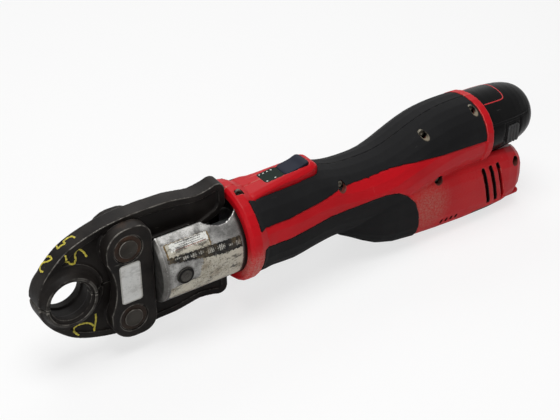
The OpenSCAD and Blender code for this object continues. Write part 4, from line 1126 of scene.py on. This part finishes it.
def make_cheek_label():
    nx, na = CHEEK_CELLS
    rows, keep, ink = [], [], []
    for j in range(na):
        a = CHEEK_DEG[0] + (CHEEK_DEG[1] - CHEEK_DEG[0]) * j / (na - 1)
        row, held, tint = [], [], []
        out = Vector((0, -math.cos(math.radians(a)), math.sin(math.radians(a))))
        for i in range(nx):
            x = CHEEK_X[0] + (CHEEK_X[1] - CHEEK_X[0]) * i / (nx - 1)
            base = Vector((x, 0, 0))
            row.append(((base + out * (HEAD_R + LABEL_T)) * MM, (base + out * (HEAD_R - CHEEK_SUNK)) * MM))
            part = cheek_part(x, a)
            held.append(part is not None)
            tint.append(part or CREAM)
        rows.append(row)
        keep.append(held)
        ink.append(tint)
    ob = sheet_piece("cheek_label", rows, keep, ink, "cheek_print", "tool")
    shade_smooth(ob.data)


# Bare sticker on the near side plate: its sides, corner radius and tones
STICKER = (29.6, 43.4, -12.8, 14.9)
STICKER_CORNER = 1.5
CORNER_SLACK = 0.05
STICKER_CELLS = (42, 84)
STICKER_SUNK = 0.1
STICKER_RIM = 0.8
STICKER_TONE = (0.62, 0.62, 0.6)
STICKER_RIM_TONE = (0.42, 0.41, 0.38)
PLATE_FACE = 14.8


def make_sticker():
    x0, x1, z0, z1 = STICKER
    nx, nz = STICKER_CELLS
    corner = STICKER_CORNER
    rows, keep, ink = [], [], []
    for j in range(nz):
        z = z0 + (z1 - z0) * j / (nz - 1)
        row, held, tint = [], [], []
        for i in range(nx):
            x = x0 + (x1 - x0) * i / (nx - 1)
            faces = (-PLATE_FACE - LABEL_T, -PLATE_FACE + STICKER_SUNK)
            row.append([Vector((x, y, z)) * MM for y in faces])
            dx = max(x0 + corner - x, x - x1 + corner, 0)
            dz = max(z0 + corner - z, z - z1 + corner, 0)
            held.append(math.hypot(dx, dz) < corner + CORNER_SLACK)
            rim = min(x - x0, x1 - x, z - z0, z1 - z)
            tint.append(STICKER_TONE if rim > STICKER_RIM else STICKER_RIM_TONE)
        rows.append(row)
        keep.append(held)
        ink.append(tint)
    sheet_piece("plate_sticker", rows, keep, ink, "sticker_print", "tool")


# Small lenses on the indicator window
LENSES = [(140.2, 4.6), (143.2, 4.6), (146.1, 4.6), (149.0, 4.6), (140.4, -4.4), (146.6, -4.2)]
LENS_R = 0.55
LENS_SHAPE = (1.3, 1, 0.35)
LENS_SUNK = 0.08
WINDOW_TOP = 29.4


def make_lenses():
    for n, (x, y) in enumerate(LENSES):
        place = Vector((x, y, WINDOW_TOP + window_rise(x) - LENS_SUNK)) * MM
        bm = bmesh.new()
        bmesh.ops.create_uvsphere(bm, u_segments=20, v_segments=12, radius=LENS_R * MM)
        bmesh.ops.scale(bm, vec=LENS_SHAPE, verts=bm.verts)
        bmesh.ops.translate(bm, vec=place, verts=bm.verts)
        mesh = bpy.data.meshes.new("indicator_lens_%d" % n)
        bm.to_mesh(mesh)
        bm.free()
        ob = link(bpy.data.objects.new(mesh.name, mesh))
        shade_smooth(mesh)
        set_material(ob, "light_pipe")
        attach(ob, "tool")


# Stage: a pale floor that is partly its own light to the camera, soft lamps and a pale surround, in metres
FLOOR_DROP = 0.0004
FLOOR_HALF = 12
FLOOR_TONE = (0.9, 0.9, 0.9, 1)
FLOOR_GLOW = 0.7
WHITE = (1, 1, 1, 1)
# Strength of the surround as light on the tool, and as it is seen or mirrored
SURROUND = (0.17, 1.0)
# Lamps: name, place, aim, size, power
LAMPS = [
    ("key", (0.0, -0.1, 1.3), (0.17, 0, 0), (0.9, 0.7), 14),
    ("left", (-0.9, -0.7, 0.6), (0.1, 0, 0), (0.5, 0.5), 3),
    ("rear", (0.5, 0.9, 0.9), (0.2, 0, 0), (0.8, 0.5), 3),
]


def make_stage():
    bm = bmesh.new()
    bmesh.ops.create_grid(bm, x_segments=1, y_segments=1, size=FLOOR_HALF)
    mesh = bpy.data.meshes.new("floor")
    bm.to_mesh(mesh)
    bm.free()
    floor = link(bpy.data.objects.new("floor", mesh))
    floor.location = (0, 0, CAD_BOX[0].z - FLOOR_DROP)
    mat = bpy.data.materials.new("floor")
    mat.use_nodes = True
    tree = mat.node_tree
    tree.nodes.clear()
    out = tree.nodes.new("ShaderNodeOutputMaterial")
    diffuse = tree.nodes.new("ShaderNodeBsdfDiffuse")
    diffuse.inputs["Color"].default_value = FLOOR_TONE
    glow = tree.nodes.new("ShaderNodeEmission")
    path = tree.nodes.new("ShaderNodeLightPath")
    share = tree.nodes.new("ShaderNodeMath")
    share.operation = "MULTIPLY"
    share.inputs[1].default_value = FLOOR_GLOW
    mix = tree.nodes.new("ShaderNodeMixShader")
    tree.links.new(path.outputs["Is Camera Ray"], share.inputs[0])
    tree.links.new(share.outputs[0], mix.inputs["Fac"])
    tree.links.new(diffuse.outputs[0], mix.inputs[1])
    tree.links.new(glow.outputs[0], mix.inputs[2])
    tree.links.new(mix.outputs[0], out.inputs["Surface"])
    mesh.materials.append(mat)


def lamp(name, place, aim, size, power):
    data = bpy.data.lights.new(name, "AREA")
    data.shape = "RECTANGLE"
    data.size, data.size_y = size
    data.energy = power
    ob = link(bpy.data.objects.new(name, data))
    ob.location = place
    ob.rotation_euler = (Vector(aim) - Vector(place)).to_track_quat("-Z", "Y").to_euler()


def make_light():
    world = bpy.data.worlds.new("world")
    SCENE.world = world
    world.use_nodes = True
    tree = world.node_tree
    back = tree.nodes["Background"]
    path = tree.nodes.new("ShaderNodeLightPath")
    shown = tree.nodes.new("ShaderNodeMath")
    shown.operation = "MAXIMUM"
    tree.links.new(path.outputs["Is Camera Ray"], shown.inputs[0])
    seen = tree.nodes.new("ShaderNodeMath")
    seen.operation = "MAXIMUM"
    tree.links.new(path.outputs["Is Glossy Ray"], seen.inputs[0])
    tree.links.new(path.outputs["Is Transmission Ray"], seen.inputs[1])
    tree.links.new(seen.outputs[0], shown.inputs[1])
    level = tree.nodes.new("ShaderNodeMapRange")
    level.inputs["To Min"].default_value, level.inputs["To Max"].default_value = SURROUND
    tree.links.new(shown.outputs[0], level.inputs["Value"])
    tree.links.new(level.outputs[0], back.inputs["Strength"])
    back.inputs["Color"].default_value = WHITE
    for values in LAMPS:
        lamp(*values)


make_camera()
make_materials()
finish_nodes()
make_dressed()
make_springs()
make_marks()
make_low_vents()
make_cheek_label()
make_sticker()
make_lenses()
make_stage()
make_light()
SCENE.view_settings.view_transform = "Standard"
